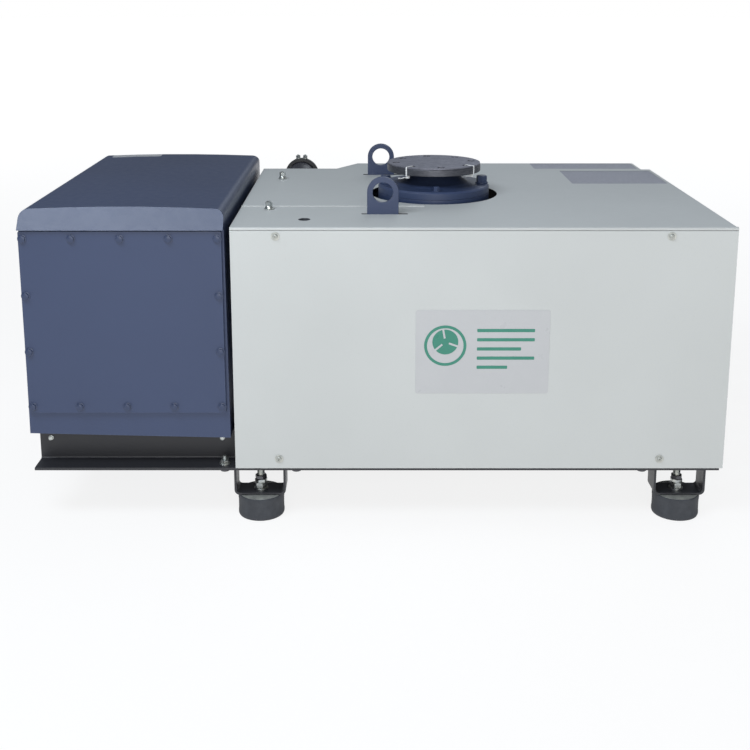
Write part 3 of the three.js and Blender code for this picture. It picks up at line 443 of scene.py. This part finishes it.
def ring(radius, height, segments, flats=None):
    """A closed ring of points round Z: a circle, or a hexagon given by its width across flats."""
    points = []
    for step in range(segments):
        angle = TURN * step / segments
        reach = radius
        if flats:
            off = (angle + math.pi / 6) % (math.pi / 3) - math.pi / 6
            reach = min(radius, flats / 2 / math.cos(off))
        lift = height(reach) if callable(height) else height
        points.append(Vector((reach * math.cos(angle), reach * math.sin(angle), lift)))
    return points


def skin(bm, rings, closed=False, loop=True):
    """Faces between rings of points. The ends are capped unless the last ring meets the first."""
    verts = [[bm.verts.new(point * MM) for point in points] for points in rings]
    pairs = list(zip(verts, verts[1:]))
    if closed:
        pairs.append((verts[-1], verts[0]))
    for low, high in pairs:
        count = len(low)
        for i in range(count if loop else count - 1):
            j = (i + 1) % count
            bm.faces.new((low[i], low[j], high[j], high[i]))
    if not closed and loop:
        bm.faces.new(reversed(verts[0]))
        bm.faces.new(verts[-1])


def add_turned(bm, profile, segments=48, closed=False):
    """A solid of revolution round Z, from (radius, height) points."""
    skin(bm, [ring(radius, height, segments) for radius, height in profile], closed)


def turned(profile, segments=48, closed=False):
    bm = bmesh.new()
    add_turned(bm, profile, segments, closed)
    return bm


def add_hexagon(bm, flats, low, high, both_ends=False, segments=24):
    """A hexagon head or nut with the cone-shaped chamfers of the real ones."""
    rim, corner = flats / 2 * 0.94, flats
    slope = math.tan(math.radians(28))
    rings = []
    if both_ends:
        rings.append(ring(rim, low, segments, flats))
        rings.append(ring(corner, lambda r: low + max(0.0, r - rim) * slope, segments, flats))
    else:
        rings.append(ring(corner, low, segments, flats))
    rings.append(ring(corner, lambda r: high - max(0.0, r - rim) * slope, segments, flats))
    rings.append(ring(rim, high, segments, flats))
    skin(bm, rings)


def outline_rounded(left, right, low, high, radius, steps=5):
    """A rectangle's outline with rounded corners."""
    points = []
    corners = [
        (right - radius, low + radius, -90), (right - radius, high - radius, 0),
        (left + radius, high - radius, 90), (left + radius, low + radius, 180),
    ]
    for a, b, start in corners:
        for step in range(steps + 1):
            angle = math.radians(start + 90 * step / steps)
            points.append((a + radius * math.cos(angle), b + radius * math.sin(angle)))
    return points


def plate(outline, low, high):
    """A flat plate with that outline in (x, y), between two heights."""
    bm = bmesh.new()
    skin(bm, [[Vector((a, b, height)) for a, b in outline] for height in (low, high)])
    return bm


def to_mesh(name, bm, smooth_degrees=SHARP_DEGREES):
    bmesh.ops.recalc_face_normals(bm, faces=bm.faces)
    mesh = bpy.data.meshes.new(name)
    bm.to_mesh(mesh)
    bm.free()
    mesh.shade_smooth()
    mesh.set_sharp_from_angle(angle=math.radians(smooth_degrees))
    return mesh


def place(x, y, z, axis=(0, 0, 1), turn=0.0):
    """Puts a piece drawn along +Z at a point in millimetres, along an axis."""
    basis = Vector((0, 0, 1)).rotation_difference(Vector(axis)).to_matrix().to_4x4()
    spin = Matrix.Rotation(math.radians(turn), 4, "Z")
    return Matrix.Translation(Vector((x, y, z)) * MM) @ basis @ spin


def piece(name, mesh, finish, where=None, body=CHASSIS, edge=0.0, stands_for=()):
    """Adds one named piece with its finish, on a CAD body."""
    mesh.materials.clear()
    mesh.materials.append(FINISHES[finish])
    made = bpy.data.objects.new(name, mesh)
    bpy.context.scene.collection.objects.link(made)
    if where is not None:
        made.matrix_world = where
    if edge:
        bevel = made.modifiers.new("edge", "BEVEL")
        bevel.width = edge * MM
        bevel.segments = 2
        bevel.limit_method = "ANGLE"
        bevel.angle_limit = math.radians(SHARP_DEGREES)
    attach(made, body)
    if stands_for:
        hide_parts(*stands_for)
    return made


FRONTWARD, BACKWARD = (0, -1, 0), (0, 1, 0)
UP, DOWN = (0, 0, 1), (0, 0, -1)


# ---- fasteners ----


def flanged_bolt_mesh(name, flats, flange, height):
    """Head of a flanged hexagon bolt, standing on z = 0."""
    bm = bmesh.new()
    add_turned(bm, [
        (flange / 2 - 0.3, 0), (flange / 2, 0.4), (flange / 2, 0.9), (flange / 2 - 0.5, 1.2),
        (flats / 2 + 1.2, 1.5), (flats / 2 - 0.2, 1.6),
    ], 36)
    add_hexagon(bm, flats, 1.2, height)
    return to_mesh(name, bm)


def socket_screw_mesh(name, washer, head, height):
    """Button head with a hexagon socket, on a flat washer."""
    bm = bmesh.new()
    inner = head / 2 - 0.6
    add_turned(bm, [(inner, 0), (washer / 2 - 0.2, 0), (washer / 2, 0.25), (washer / 2, 1.0),
                    (washer / 2 - 0.2, 1.2), (inner, 1.2)], 40, closed=True)
    segments = 36
    socket, deep = head * 0.4, height * 0.45
    dome = [
        ring(head / 2, 1.15, segments), ring(head / 2, 1.7, segments),
        ring(head * 0.47, 1.2 + (height - 1.2) * 0.55, segments),
        ring(head * 0.38, 1.2 + (height - 1.2) * 0.86, segments),
        ring(head * 0.29, height, segments),
        ring(socket, height - 0.15, segments, socket), ring(socket, deep, segments, socket),
    ]
    skin(bm, dome)
    return to_mesh(name, bm)


def washer_profile(inner, outer, low, high):
    return [(inner, low), (outer - 0.3, low), (outer, low + 0.3), (outer, high - 0.3),
            (outer - 0.3, high), (inner, high)]


def add_cover_bolts():
    """The casing cover's fourteen painted bolts."""
    mesh = flanged_bolt_mesh("cover_bolt", 13.5, 18.8, 6.3)
    front = box_mm("casing_cover")[0].y
    xs = (-725, -625.5, -526, -426.5, -326.5)
    places = [(x, z) for z in (622.5, 259.8) for x in xs]
    places += [(x, z) for x in (xs[0], xs[-1]) for z in (501.5, 380.6)]
    rng = random.Random(7)
    for number, (x, z) in enumerate(places, 1):
        where = place(x, front, z, FRONTWARD, rng.uniform(-14, 14))
        # the bolts take a blue painted darker than the casing's, as painted shade
        piece(f"cover_bolt_{number:02d}", mesh, "bolt_blue_painted_shade", where)


def add_panel_screws():
    mesh = socket_screw_mesh("panel_screw", 18, 11, 4.6)
    front = box_mm("front_panel")[0].y
    rng = random.Random(11)
    number = 0
    for x in (-208, 601):
        for z in (628, 143):
            number += 1
            piece(f"front_panel_screw_{number}", mesh, "zinc_satin",
                  place(x, front, z, FRONTWARD, rng.uniform(0, 60)))


def screw_thread(radius, low, high, pitch):
    """Profile of a thread as rings of alternating radius."""
    profile = []
    steps = int((high - low) / pitch)
    for step in range(steps):
        base = low + step * pitch
        root = radius - pitch * 0.5
        profile += [(radius, base), (radius, base + pitch * 0.2),
                    (root, base + pitch * 0.55), (root, base + pitch * 0.7)]
    return profile + [(radius - 0.8, high)]


def add_feet():
    """Rubber buffers with their plates, threaded studs, washers and nuts."""
    nut_bm = bmesh.new()
    add_turned(nut_bm, washer_profile(8.2, 15, 0, 3), 40, closed=True)
    add_hexagon(nut_bm, 24, 3, 16, both_ends=True)
    add_turned(nut_bm, [(8.2, 15.9), (8.2, 16.4)], 40)
    skin(nut_bm, [
        [Matrix.Rotation(0.4, 3, "Z") @ point for point in ring(radius, height, 24, 24)]
        for radius, height in ((11.5, 16.3), (13.4, 17.3), (13.4, 23), (11.5, 24))
    ])
    nut = to_mesh("foot_nut", nut_bm)
    lock_bm = bmesh.new()
    add_hexagon(lock_bm, 22, 0, 8, both_ends=True)
    lock = to_mesh("foot_lock_nut", lock_bm)
    for number in (1, 2, 3, 4):
        low, high = box_mm(f"rubber_foot_{number}")
        x, y = (low.x + high.x) / 2, (low.y + high.y) / 2
        top = high.z
        buffer_mesh = to_mesh("foot_buffer", turned([
            (40, 1.2), (42, 0), (46.5, 0), (49, 1.2), (50, 4), (50, 9), (49.5, 11), (49.3, 23),
            (49.5, 36), (50, 39), (50, 46), (49.7, 48.6), (49, 49.7), (48.3, 49.9), (48.0, 49.4),
            (48.0, top),
        ], 64), 40)
        piece(f"foot_buffer_{number}", buffer_mesh, "rubber", place(x, y, 0),
              stands_for=[f"rubber_foot_{number}"])
        base, tip = (corner.z for corner in box_mm(f"foot_stud_{number}"))
        stud_bm = turned([(9, base + 2.6), (8, base + 4)] + screw_thread(8, base + 6, tip, 2), 48)
        piece(f"foot_threaded_stud_{number}", to_mesh("foot_stud", stud_bm), "zinc", place(x, y, 0),
              stands_for=[f"foot_stud_{number}"])
        plate_bm = turned([(46.8, base), (47.8, base + 0.4), (47.8, base + 2), (47.2, base + 2.6),
                           (24, base + 2.7), (12, base + 3), (7.6, base + 3)], 64)
        piece(f"foot_plate_{number}", to_mesh("foot_plate", plate_bm), "zinc_satin", place(x, y, 0))
        strap = base + 3 + 0.3 + 5
        piece(f"foot_nut_{number}", nut, "zinc", place(x, y, strap, UP, 17 * number))
        piece(f"foot_lock_nut_{number}", lock, "dark_zinc", place(x, y, strap + 24.2, UP, 23 * number))


def add_frame_fasteners():
    """Bolts that hold the casing and the cross beams on the rails."""
    web = -364.7
    small = flanged_bolt_mesh("rail_bolt", 8, 11, 6)
    for number, x in enumerate((-707, -335), 1):
        piece(f"rail_bolt_{number}", small, "zinc", place(x, web, 168, FRONTWARD, 12))
        piece(f"rear_rail_bolt_{number}", small, "zinc", place(x, -web, 168, BACKWARD, 12))
    bm = bmesh.new()
    add_turned(bm, washer_profile(5, 12, 0, 2.2), 32, closed=True)
    add_hexagon(bm, 16, 2.2, 10, both_ends=True)
    add_turned(bm, screw_thread(5, 8, 18, 1.6), 24)
    upper = to_mesh("rail_nut", bm)
    bm = bmesh.new()
    add_turned(bm, washer_profile(5, 14, 0, 2.2), 32, closed=True)
    add_hexagon(bm, 19, 2.2, 9)
    lower = to_mesh("rail_lower_nut", bm)
    flange_top, flange_bottom = 121.2, 115
    for side, depth in (("front", -395), ("rear", 395)):
        piece(f"rail_nut_{side}", upper, "zinc", place(-327, depth, flange_top))
        for number, x in enumerate((-327, -173, 570), 1):
            piece(f"rail_bolt_head_{side}_{number}", lower, "dark_zinc",
                  place(x, depth, flange_bottom, DOWN, 9 * number))


def add_lid_bolts():
    """The service lid's two bolts, with bell washers. They lift off with the lid."""
    bm = bmesh.new()
    add_turned(bm, [(4, -20), (4, 0.2), (10.2, 0.2), (10.5, 0.5), (10.5, 1.8), (10.1, 2.2), (8.6, 2.4),
                    (8.2, 5), (7.0, 7.6), (6.0, 8.2), (6.0, 9)], 40)
    add_hexagon(bm, 13.5, 8.4, 16.5)
    add_turned(bm, [(5.2, 16.2), (5.2, 17.4), (4.6, 17.8)], 32)
    mesh = to_mesh("lid_bolt", bm)
    for number, end in enumerate(("front", "rear"), 1):
        low, high = box_mm(f"lid_bolt_{end}")
        where = place((low.x + high.x) / 2, (low.y + high.y) / 2, low.z + 20, UP, 20 * number)
        piece(f"lid_bolt_{end}_detailed", mesh, "zinc", where, body="lid",
              stands_for=[f"lid_bolt_{end}"])


# ---- inlet ----

INLET_X, INLET_Y = 136.0, -25.0
HOLE_TURN = 7.7 - 90


def add_inlet_bolts():
    big = bmesh.new()
    add_turned(big, washer_profile(6, 15, 0, 2.5), 36, closed=True)
    add_hexagon(big, 22, 2.5, 18)
    big = to_mesh("inlet_bolt", big)
    small = bmesh.new()
    add_turned(small, washer_profile(4, 9.5, 0, 1.6), 32, closed=True)
    add_hexagon(small, 13, 1.6, 11)
    small = to_mesh("inlet_small_bolt", small)
    for number, (angle, mesh) in enumerate(((0, big), (90, small), (180, big), (270, small)), 1):
        a = math.radians(angle)
        where = place(INLET_X + 114 * math.cos(a), INLET_Y + 114 * math.sin(a), 670.3, UP, 10)
        piece(f"inlet_bolt_{number}", mesh, "casing_blue", where)


SPRING_RADIUS, SPRING_WIRE = 32.0, 2.5


def add_valve_spring():
    """The check valve's coil spring, with closed end turns, at the CAD spring's length."""
    low, high = box_mm("check_valve_spring")
    end_pitch = 2 * SPRING_WIRE + 0.1
    free_turns = 5
    pitch = (high.z - low.z - 2 * SPRING_WIRE - 2 * end_pitch) / free_turns
    steps = 28
    rise = low.z + SPRING_WIRE
    rings = []
    for step in range((free_turns + 2) * steps + 1):
        turns = step / steps
        slope = pitch if 1 <= turns < free_turns + 1 else end_pitch
        radial = Vector((math.cos(TURN * turns), math.sin(TURN * turns), 0))
        tangent = Vector((-radial.y, radial.x, slope / (TURN * SPRING_RADIUS))).normalized()
        across = radial.cross(tangent)
        middle = Vector((INLET_X, INLET_Y, rise)) + radial * SPRING_RADIUS
        rings.append([
            middle + (radial * math.cos(TURN * k / 12) + across * math.sin(TURN * k / 12)) * SPRING_WIRE
            for k in range(12)
        ])
        rise += slope / steps
    bm = bmesh.new()
    skin(bm, rings)
    coil = piece("check_valve_coil", to_mesh("check_valve_coil", bm), "steel",
                 stands_for=["check_valve_spring"])
    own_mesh(coil)


def ribbon(points, width_axis, width, thickness):
    """A flat strap along points, with its width along one axis."""
    bm = bmesh.new()
    rings = []
    side = Vector(width_axis).normalized() * width / 2
    for index, point in enumerate(points):
        before = points[max(index - 1, 0)]
        after = points[min(index + 1, len(points) - 1)]
        along = (Vector(after) - Vector(before)).normalized()
        out = along.cross(side).normalized() * thickness / 2
        middle = Vector(point)
        rings.append([
            middle + side + out, middle - side + out, middle - side - out, middle + side - out,
        ])
    skin(bm, rings)
    return bm


def rounded_path(corners, radius, steps=5):
    """A path through corners with each bend rounded off."""
    points = [Vector(corners[0])]
    for before, corner, after in zip(corners, corners[1:], corners[2:]):
        before, corner, after = Vector(before), Vector(corner), Vector(after)
        start = corner + (before - corner).normalized() * radius
        end = corner + (after - corner).normalized() * radius
        for step in range(steps + 1):
            t = step / steps
            points.append(start.lerp(corner, t).lerp(corner.lerp(end, t), t))
    points.append(Vector(corners[-1]))
    return points


def add_cable_ties():
    """Two nylon ties that hold the transport cover on the flange, through its bolt holes."""
    for number, index in enumerate((7, 1), 1):
        angle = math.radians(HOLE_TURN + 45 * index)
        outward = Vector((math.cos(angle), math.sin(angle), 0))
        across = Vector((-outward.y, outward.x, 0))
        middle = Vector((INLET_X, INLET_Y, 0))
        near, far = 88.0, 111.4
        low = FLANGE_LOW - 1.0
        loop = [
            middle + outward * near + Vector((0, 0, low)),
            middle + outward * near + Vector((0, 0, DISC_TOP + 0.8)),
            middle + outward * far + Vector((0, 0, DISC_TOP + 0.8)),
            middle + outward * far + Vector((0, 0, low)),
            middle + outward * (near + 1.5) + Vector((0, 0, low)),
        ]
        path = rounded_path(loop, 1.6)
        mesh = to_mesh("cable_tie", ribbon(path, across, 3.4, 1.2), 50)
        piece(f"cable_tie_{number}", mesh, "nylon")
        head = middle + outward * (far - 6) + Vector((0, 0, low - 3.2))
        bm = plate(outline_rounded(-3.6, 3.6, -3.2, 3.2, 0.9, 3), -2.6, 2.6)
        turn = math.degrees(angle)
        piece(f"cable_tie_head_{number}", to_mesh("cable_tie_head", bm), "nylon",
              place(*head, UP, turn), edge=0.4)
        droop = ((0, 0, 0), (-8, -1, -1), (-15, 1, -3), (-22, 5, -3))
        tail = [head + Vector(step) for step in droop]
        mesh = to_mesh("cable_tie_tail", ribbon(rounded_path(tail, 3), (0.2, 1, 0.1), 3.2, 1.2), 50)
        piece(f"cable_tie_tail_{number}", mesh, "nylon")


# ---- trims of the hood's openings, and screws of its rear and right panels ----

ACCESS_X, ACCESS_Y = -153.0, -340.0
REAR_LEFT_Y = 334.0
EYE_X, EYE_HALF_WIDTH, EYE_HALF_THICKNESS = 13.0, 34.0, 5.0
SLOT_LEFT, SLOT_RIGHT, SLOT_HALF = -46.0, 54.0, 7.0


def add_trims():
    """A rubber grommet in the access hole and rubber seals round the lifting eyes."""
    top = box_mm("top_panel")[1].z
    grommet = turned([(7.4, -4.4), (13.2, -4.4), (13.4, -3.4), (11.3, -2.6), (11.3, 0.05), (12.6, 0.15),
                      (12.4, 0.7), (10.4, 0.8), (9.6, 0.2), (9.2, -3.4), (7.4, -3.8)], 48, closed=True)
    piece("access_grommet", to_mesh("access_grommet", grommet), "rubber",
          place(ACCESS_X, ACCESS_Y, top))
    for end, body in (("front", CHASSIS), ("rear", "lid")):
        low, high = box_mm(f"lifting_eye_{end}")
        y = high.y - EYE_HALF_THICKNESS if end == "rear" else low.y + EYE_HALF_THICKNESS
        outer = outline_rounded(SLOT_LEFT, SLOT_RIGHT, -SLOT_HALF, SLOT_HALF, 3, 4)
        reach, half = EYE_HALF_WIDTH + 0.8, EYE_HALF_THICKNESS + 0.8
        inner = outline_rounded(-reach, reach, -half, half, 0.4, 4)
        walls = [
            [Vector((EYE_X + a, y + b, top + height)) for a, b in outline]
            for outline, height in ((outer, -1.9), (outer, -0.7), (inner, -0.7), (inner, -1.9))
        ]
        bm = bmesh.new()
        skin(bm, walls, closed=True)
        piece(f"eye_seal_{end}", to_mesh(f"eye_seal_{end}", bm), "rubber", body=body)


def add_side_screws():
    """Panel screws on the hood's right and rear panels, like those on its front."""
    mesh = socket_screw_mesh("side_screw", 18, 11, 2.9)
    right = box_mm("right_panel")[1].x
    places = [((right, y, z), (1, 0, 0)) for y in (-380, 285) for z in (175, 610)]
    places += [((x, REAR_LEFT_Y, z), BACKWARD) for x in (-285, -122) for z in (215, 540)]
    rng = random.Random(5)
    for number, (spot, axis) in enumerate(places, 1):
        piece(f"side_screw_{number}", mesh, "zinc_satin", place(*spot, axis, rng.uniform(0, 60)))


# ---- grilles ----


def perforated(left, right, front, back, pitch, row, hole, thickness):
    """A sheet with staggered six-sided holes. hole is their half size along x and y."""
    columns = int((right - left) / pitch)
    rows = int((back - front) / row)
    dx, dy = (right - left) / columns, (back - front) / rows
    bm = bmesh.new()
    grid = [
        [
            bm.verts.new(Vector((left + i * dx / 2, front + j * dy, 0)) * MM)
            for i in range(2 * columns + 1)
        ]
        for j in range(rows + 1)
    ]
    for j in range(rows):
        low, high = grid[j], grid[j + 1]
        offset = j % 2
        if offset:
            bm.faces.new((low[0], low[1], high[1], high[0]))
            bm.faces.new((low[-2], low[-1], high[-1], high[-2]))
        for i in range(offset, 2 * columns - offset - 1, 2):
            outer = [low[i], low[i + 1], low[i + 2], high[i + 2], high[i + 1], high[i]]
            x, y = left + (i + 1) * dx / 2, front + (j + 0.5) * dy
            shape = [(-1, -0.5), (0, -1), (1, -0.5), (1, 0.5), (0, 1), (-1, 0.5)]
            inner = [
                bm.verts.new(Vector((x + a * hole[0], y + b * hole[1], 0)) * MM) for a, b in shape
            ]
            for k in range(6):
                m = (k + 1) % 6
                bm.faces.new((outer[k], outer[m], inner[m], inner[k]))
    wall = bm.faces[:]
    extruded = bmesh.ops.extrude_face_region(bm, geom=wall)
    moved = [v for v in extruded["geom"] if isinstance(v, bmesh.types.BMVert)]
    bmesh.ops.translate(bm, verts=moved, vec=Vector((0, 0, thickness * MM)))
    return bm


def add_grilles():
    for name, node, pitch, row, hole in (
        ("vent_mesh_front", "vent_grille_front", 6.0, 5.2, (1.85, 2.1)),
        ("vent_mesh_rear", "vent_grille_rear", 14.0, 6.0, (5.4, 1.6)),
    ):
        low, high = box_mm(node)
        bm = perforated(low.x, high.x, low.y, high.y, pitch, row, hole, 1.2)
        mesh = to_mesh(name, bm)
        piece(name, mesh, "vent_grey", place(0, 0, high.z - 1.3), stands_for=[node])


# ---- label ----


def add_label():
    """A blank rating plate with a green pictogram of a vane rotor in its bore, and no text."""
    left, right, low, high = 80, 359, 290, 472
    front = box_mm("front_panel")[0].y

    def add_raised(bm, outline, bottom, top):
        skin(bm, [[Vector((a, front - height, b)) for a, b in outline] for height in (bottom, top)])

    def disc_outline(x, z, radius, steps=64):
        return [(x + radius * math.cos(TURN * s / steps), z + radius * math.sin(TURN * s / steps))
                for s in range(steps)]

    bm = bmesh.new()
    add_raised(bm, outline_rounded(left, right, low, high, 5), 0, 0.5)
    piece("label_plate", to_mesh("label_plate", bm), "label_face", edge=0.15)

    bm = bmesh.new()
    centre = (left + 62, (low + high) / 2 + 14)
    outer, inner = disc_outline(*centre, 44), disc_outline(*centre, 38)
    walls = [
        [Vector((a, front - height, b)) for a, b in outline]
        for outline, height in ((outer, 0.45), (outer, 0.75), (inner, 0.75), (inner, 0.45))
    ]
    skin(bm, walls, closed=True)
    rotor = (centre[0], centre[1] + 8)
    add_raised(bm, disc_outline(*rotor, 27), 0.45, 0.75)
    mesh = to_mesh("label_pictogram", bm)
    piece("label_pictogram", mesh, "label_green")
    vanes = bmesh.new()
    hub = Vector((rotor[0], front, rotor[1]))
    for angle, reach in ((100, 29.5), (220, 41.0), (340, 35.5)):
        a = math.radians(angle)
        along = Vector((math.cos(a), 0, math.sin(a)))
        across = Vector((-math.sin(a), 0, math.cos(a)))
        blade = ((8, -2), (reach, -2), (reach, 2), (8, 2))
        corners = [hub + along * s + across * t for s, t in blade]
        skin(vanes, [[c + Vector((0, -height, 0)) for c in corners] for height in (0.7, 0.95)])
    piece("label_vanes", to_mesh("label_vanes", vanes), "label_face")
    bars = bmesh.new()
    for row, length in enumerate((120, 120, 92, 120, 64)):
        z = high - 44 - row * 20
        start = left + 128
        add_raised(bars, outline_rounded(start, start + length, z - 3.5, z + 3.5, 1.5, 3), 0.45, 0.7)
    piece("label_bars", to_mesh("label_bars", bars), "label_green")


# ---- exhaust ----


def add_exhaust_clamp():
    """Hose clamp ring on the exhaust's end, with its two clamp screws on top."""
    x, z, rear = -203, 618, 412
    bm = turned([(38.4, 0), (45.4, 0), (46.2, 0.8), (46.2, 16.2), (45.4, 17), (38.4, 17)], 64,
                closed=True)
    piece("exhaust_clamp_ring", to_mesh("exhaust_clamp_ring", bm), "black_plastic",
          place(x, rear - 17, z, BACKWARD))
    collar = turned([(38.2, 0), (41, 0), (41.5, 0.5), (41.5, 4), (40, 5), (38.2, 5)], 64, closed=True)
    piece("exhaust_collar", to_mesh("exhaust_collar", collar), "black_plastic",
          place(x, rear, z, BACKWARD))
    screw = bmesh.new()
    add_turned(screw, washer_profile(3.2, 7.5, 0, 1.6), 28, closed=True)
    add_hexagon(screw, 11.5, 1.6, 9)
    add_turned(screw, screw_thread(3, 7.5, 11.5, 1.2), 20)
    mesh = to_mesh("clamp_screw", screw)
    for number, dx in enumerate((-9, 9), 1):
        piece(f"exhaust_clamp_screw_{number}", mesh, "zinc",
              place(x + dx, rear - 8.5, z + 45.2, (0.12 * (1 if dx > 0 else -1), 0, 1)))


# ---- oil ports on the casing's rear face ----


def add_oil_ports():
    low, high = box_mm("oil_sight_glass")
    x, z, rear = (low.x + high.x) / 2, (low.z + high.z) / 2, high.y
    wall = rear - 6
    bezel = turned([(19, 0), (26.2, 0), (27, 0.8), (27, 2.6), (25, 5.2), (20.5, 5.8), (19, 5)],
                   closed=True)
    on_wall = place(x, wall + 0.1, z, BACKWARD)
    piece("sight_glass_bezel", to_mesh("sight_glass_bezel", bezel), "zinc", on_wall)
    pane = turned([(19, 1.0), (19, 3.6), (12, 4.2), (5, 4.4), (0.5, 4.45)])
    piece("sight_glass_pane", to_mesh("sight_glass_pane", pane), "glass", on_wall,
          stands_for=["oil_sight_glass"])
    bm = bmesh.new()
    half = [(18.6 * math.cos(a), 18.6 * math.sin(a))
            for a in (math.radians(180 + 180 * s / 24) for s in range(25))]
    outline = [(x + a, z + b + 2) for a, b in half]
    skin(bm, [[Vector((a, wall + depth, b)) for a, b in outline] for depth in (0.2, 0.9)])
    piece("sight_glass_oil", to_mesh("sight_glass_oil", bm), "oil")

    low, high = box_mm("oil_filler_plug")
    x, z = (low.x + high.x) / 2, (low.z + high.z) / 2
    bm = bmesh.new()

    def lobed(radius, height, depth=0.0):
        points = []
        for step in range(96):
            angle = TURN * step / 96
            reach = radius - depth * (0.5 + 0.5 * math.cos(8 * angle)) ** 2
            points.append(Vector((reach * math.cos(angle), reach * math.sin(angle), height)))
        return points

    skin(bm, [lobed(19, -8), lobed(19, 0.1), lobed(23.2, 0.3), lobed(24, 1.2), lobed(24, 3),
              lobed(23, 4, 1.5), lobed(22.6, 18, 2.4), lobed(21, 20.6, 2.2), lobed(17, 21.6, 0.8),
              lobed(6, 21.9)])
    piece("oil_filler_knob", to_mesh("oil_filler_knob", bm), "black_plastic",
          place(x, high.y - 22, z, BACKWARD), stands_for=["oil_filler_plug"])

    low, high = box_mm("oil_drain_plug")
    x, z = (low.x + high.x) / 2, (low.z + high.z) / 2
    bm = bmesh.new()
    add_turned(bm, [(12, -6), (12, 0), (17.6, 0.1), (18, 0.5), (18, 2.8), (17.4, 3.4), (12, 3.4)], 40)
    add_hexagon(bm, 24, 3.2, 13.6)
    piece("oil_drain_bolt", to_mesh("oil_drain_bolt", bm), "zinc",
          place(x, high.y - 14, z, BACKWARD, 8), stands_for=["oil_drain_plug"])


def add_casing_label():
    """Blank plate near the rear edge of the casing's top."""
    outline = outline_rounded(-701, -572, 303, 333, 2.5, 3)
    bm = bmesh.new()
    middle = -524.0

    def crown(x):
        return 681.4 + 3.4 * (1 - ((x - middle) / 195) ** 2)

    skin(bm, [[Vector((a, b, crown(a) + height)) for a, b in outline] for height in (-0.4, 0.5)])
    piece("casing_top_label", to_mesh("casing_top_label", bm), "label_face")


# ---- studio, in metres and watts ----

FLOOR_RADII = (0.5, 2, 6, 14, 40)
FLOOR_DROP = 0.0004
LENS_MM, LENS_SHIFT = 53.7, (0.005, -0.20)
CAMERA_PLACE, CAMERA_PITCH = (-0.012, -2.645, 1.126), 0.210
SKY_COLOUR, SKY_STRENGTH = (0.85, 0.91, 1.0), 0.23
BACKDROP_COLOUR, BACKDROP_STRENGTH = (1.0, 1.0, 1.0), 1.0
WARM, COOL = (1.0, 0.99, 0.97), (0.86, 0.93, 1.0)
LIGHTS = (
    {"name": "key", "location": (0.15, -4.6, 1.7), "target": (0, 0, 0.4), "size": (3.4, 2.2),
     "watts": 83, "colour": WARM},
    {"name": "brow", "location": (-1.2, -1.65, 2.7), "target": (-0.5, -0.4, 0.66), "size": (1.9, 0.9),
     "watts": 50, "colour": COOL},
    {"name": "rear_fill", "location": (1.6, 3.6, 3.2), "target": (0, 0, 0.4), "size": (3.0, 2.0),
     "watts": 33, "colour": COOL},
)


def add_floor():
    """Flat rings just under the feet, filled in the middle."""
    bm = bmesh.new()
    skin(bm, [ring(radius / MM, 0, 64) for radius in FLOOR_RADII])
    bm.faces.ensure_lookup_table()
    mesh = bpy.data.meshes.new("studio_floor")
    for vert in bm.verts:
        vert.co.z = -FLOOR_DROP
    # skin() also fills the outer ring, which would double the floor
    bmesh.ops.delete(bm, geom=[bm.faces[-1]], context="FACES_ONLY")
    bm.to_mesh(mesh)
    bm.free()
    mesh.materials.append(floor_finish())
    floor = bpy.data.objects.new("studio_floor", mesh)
    bpy.context.scene.collection.objects.link(floor)


def add_light(name, location, target, size, watts, colour):
    data = bpy.data.lights.new(name, "AREA")
    data.shape = "RECTANGLE"
    data.size, data.size_y = size
    data.energy = watts
    data.color = colour
    light = bpy.data.objects.new(name, data)
    light.location = location
    light.rotation_euler = (Vector(target) - Vector(location)).to_track_quat("-Z", "Y").to_euler()
    bpy.context.scene.collection.objects.link(light)


def add_world():
    """Pale backdrop for the camera, and a dimmer even sky for the light it gives."""
    world = bpy.data.worlds.new("studio")
    bpy.context.scene.world = world
    world.use_nodes = True
    tree = world.node_tree
    sky = tree.nodes["Background"]
    sky.inputs["Color"].default_value = opaque(SKY_COLOUR)
    sky.inputs["Strength"].default_value = SKY_STRENGTH
    backdrop = tree.nodes.new("ShaderNodeBackground")
    backdrop.inputs["Color"].default_value = opaque(BACKDROP_COLOUR)
    backdrop.inputs["Strength"].default_value = BACKDROP_STRENGTH
    mix = tree.nodes.new("ShaderNodeMixShader")
    path = tree.nodes.new("ShaderNodeLightPath")
    tree.links.new(path.outputs["Is Camera Ray"], mix.inputs["Fac"])
    tree.links.new(sky.outputs["Background"], mix.inputs[1])
    tree.links.new(backdrop.outputs["Background"], mix.inputs[2])
    tree.links.new(mix.outputs["Shader"], tree.nodes["World Output"].inputs["Surface"])


def add_camera():
    data = bpy.data.cameras.new("camera")
    data.lens = LENS_MM
    data.shift_x, data.shift_y = LENS_SHIFT
    camera = bpy.data.objects.new("camera", data)
    camera.location = CAMERA_PLACE
    camera.rotation_euler = (math.pi / 2 - CAMERA_PITCH, 0, 0)
    bpy.context.scene.collection.objects.link(camera)
    bpy.context.scene.camera = camera


def add_studio():
    add_camera()
    add_floor()
    add_world()
    for light in LIGHTS:
        add_light(**light)
    bpy.context.scene.view_settings.view_transform = "Standard"


dress_nodes()
add_cover_bolts()
add_panel_screws()
add_feet()
add_frame_fasteners()
add_lid_bolts()
add_inlet_bolts()
add_valve_spring()
add_cable_ties()
add_trims()
add_side_screws()
add_grilles()
add_label()
add_exhaust_clamp()
add_oil_ports()
add_casing_label()
add_studio()
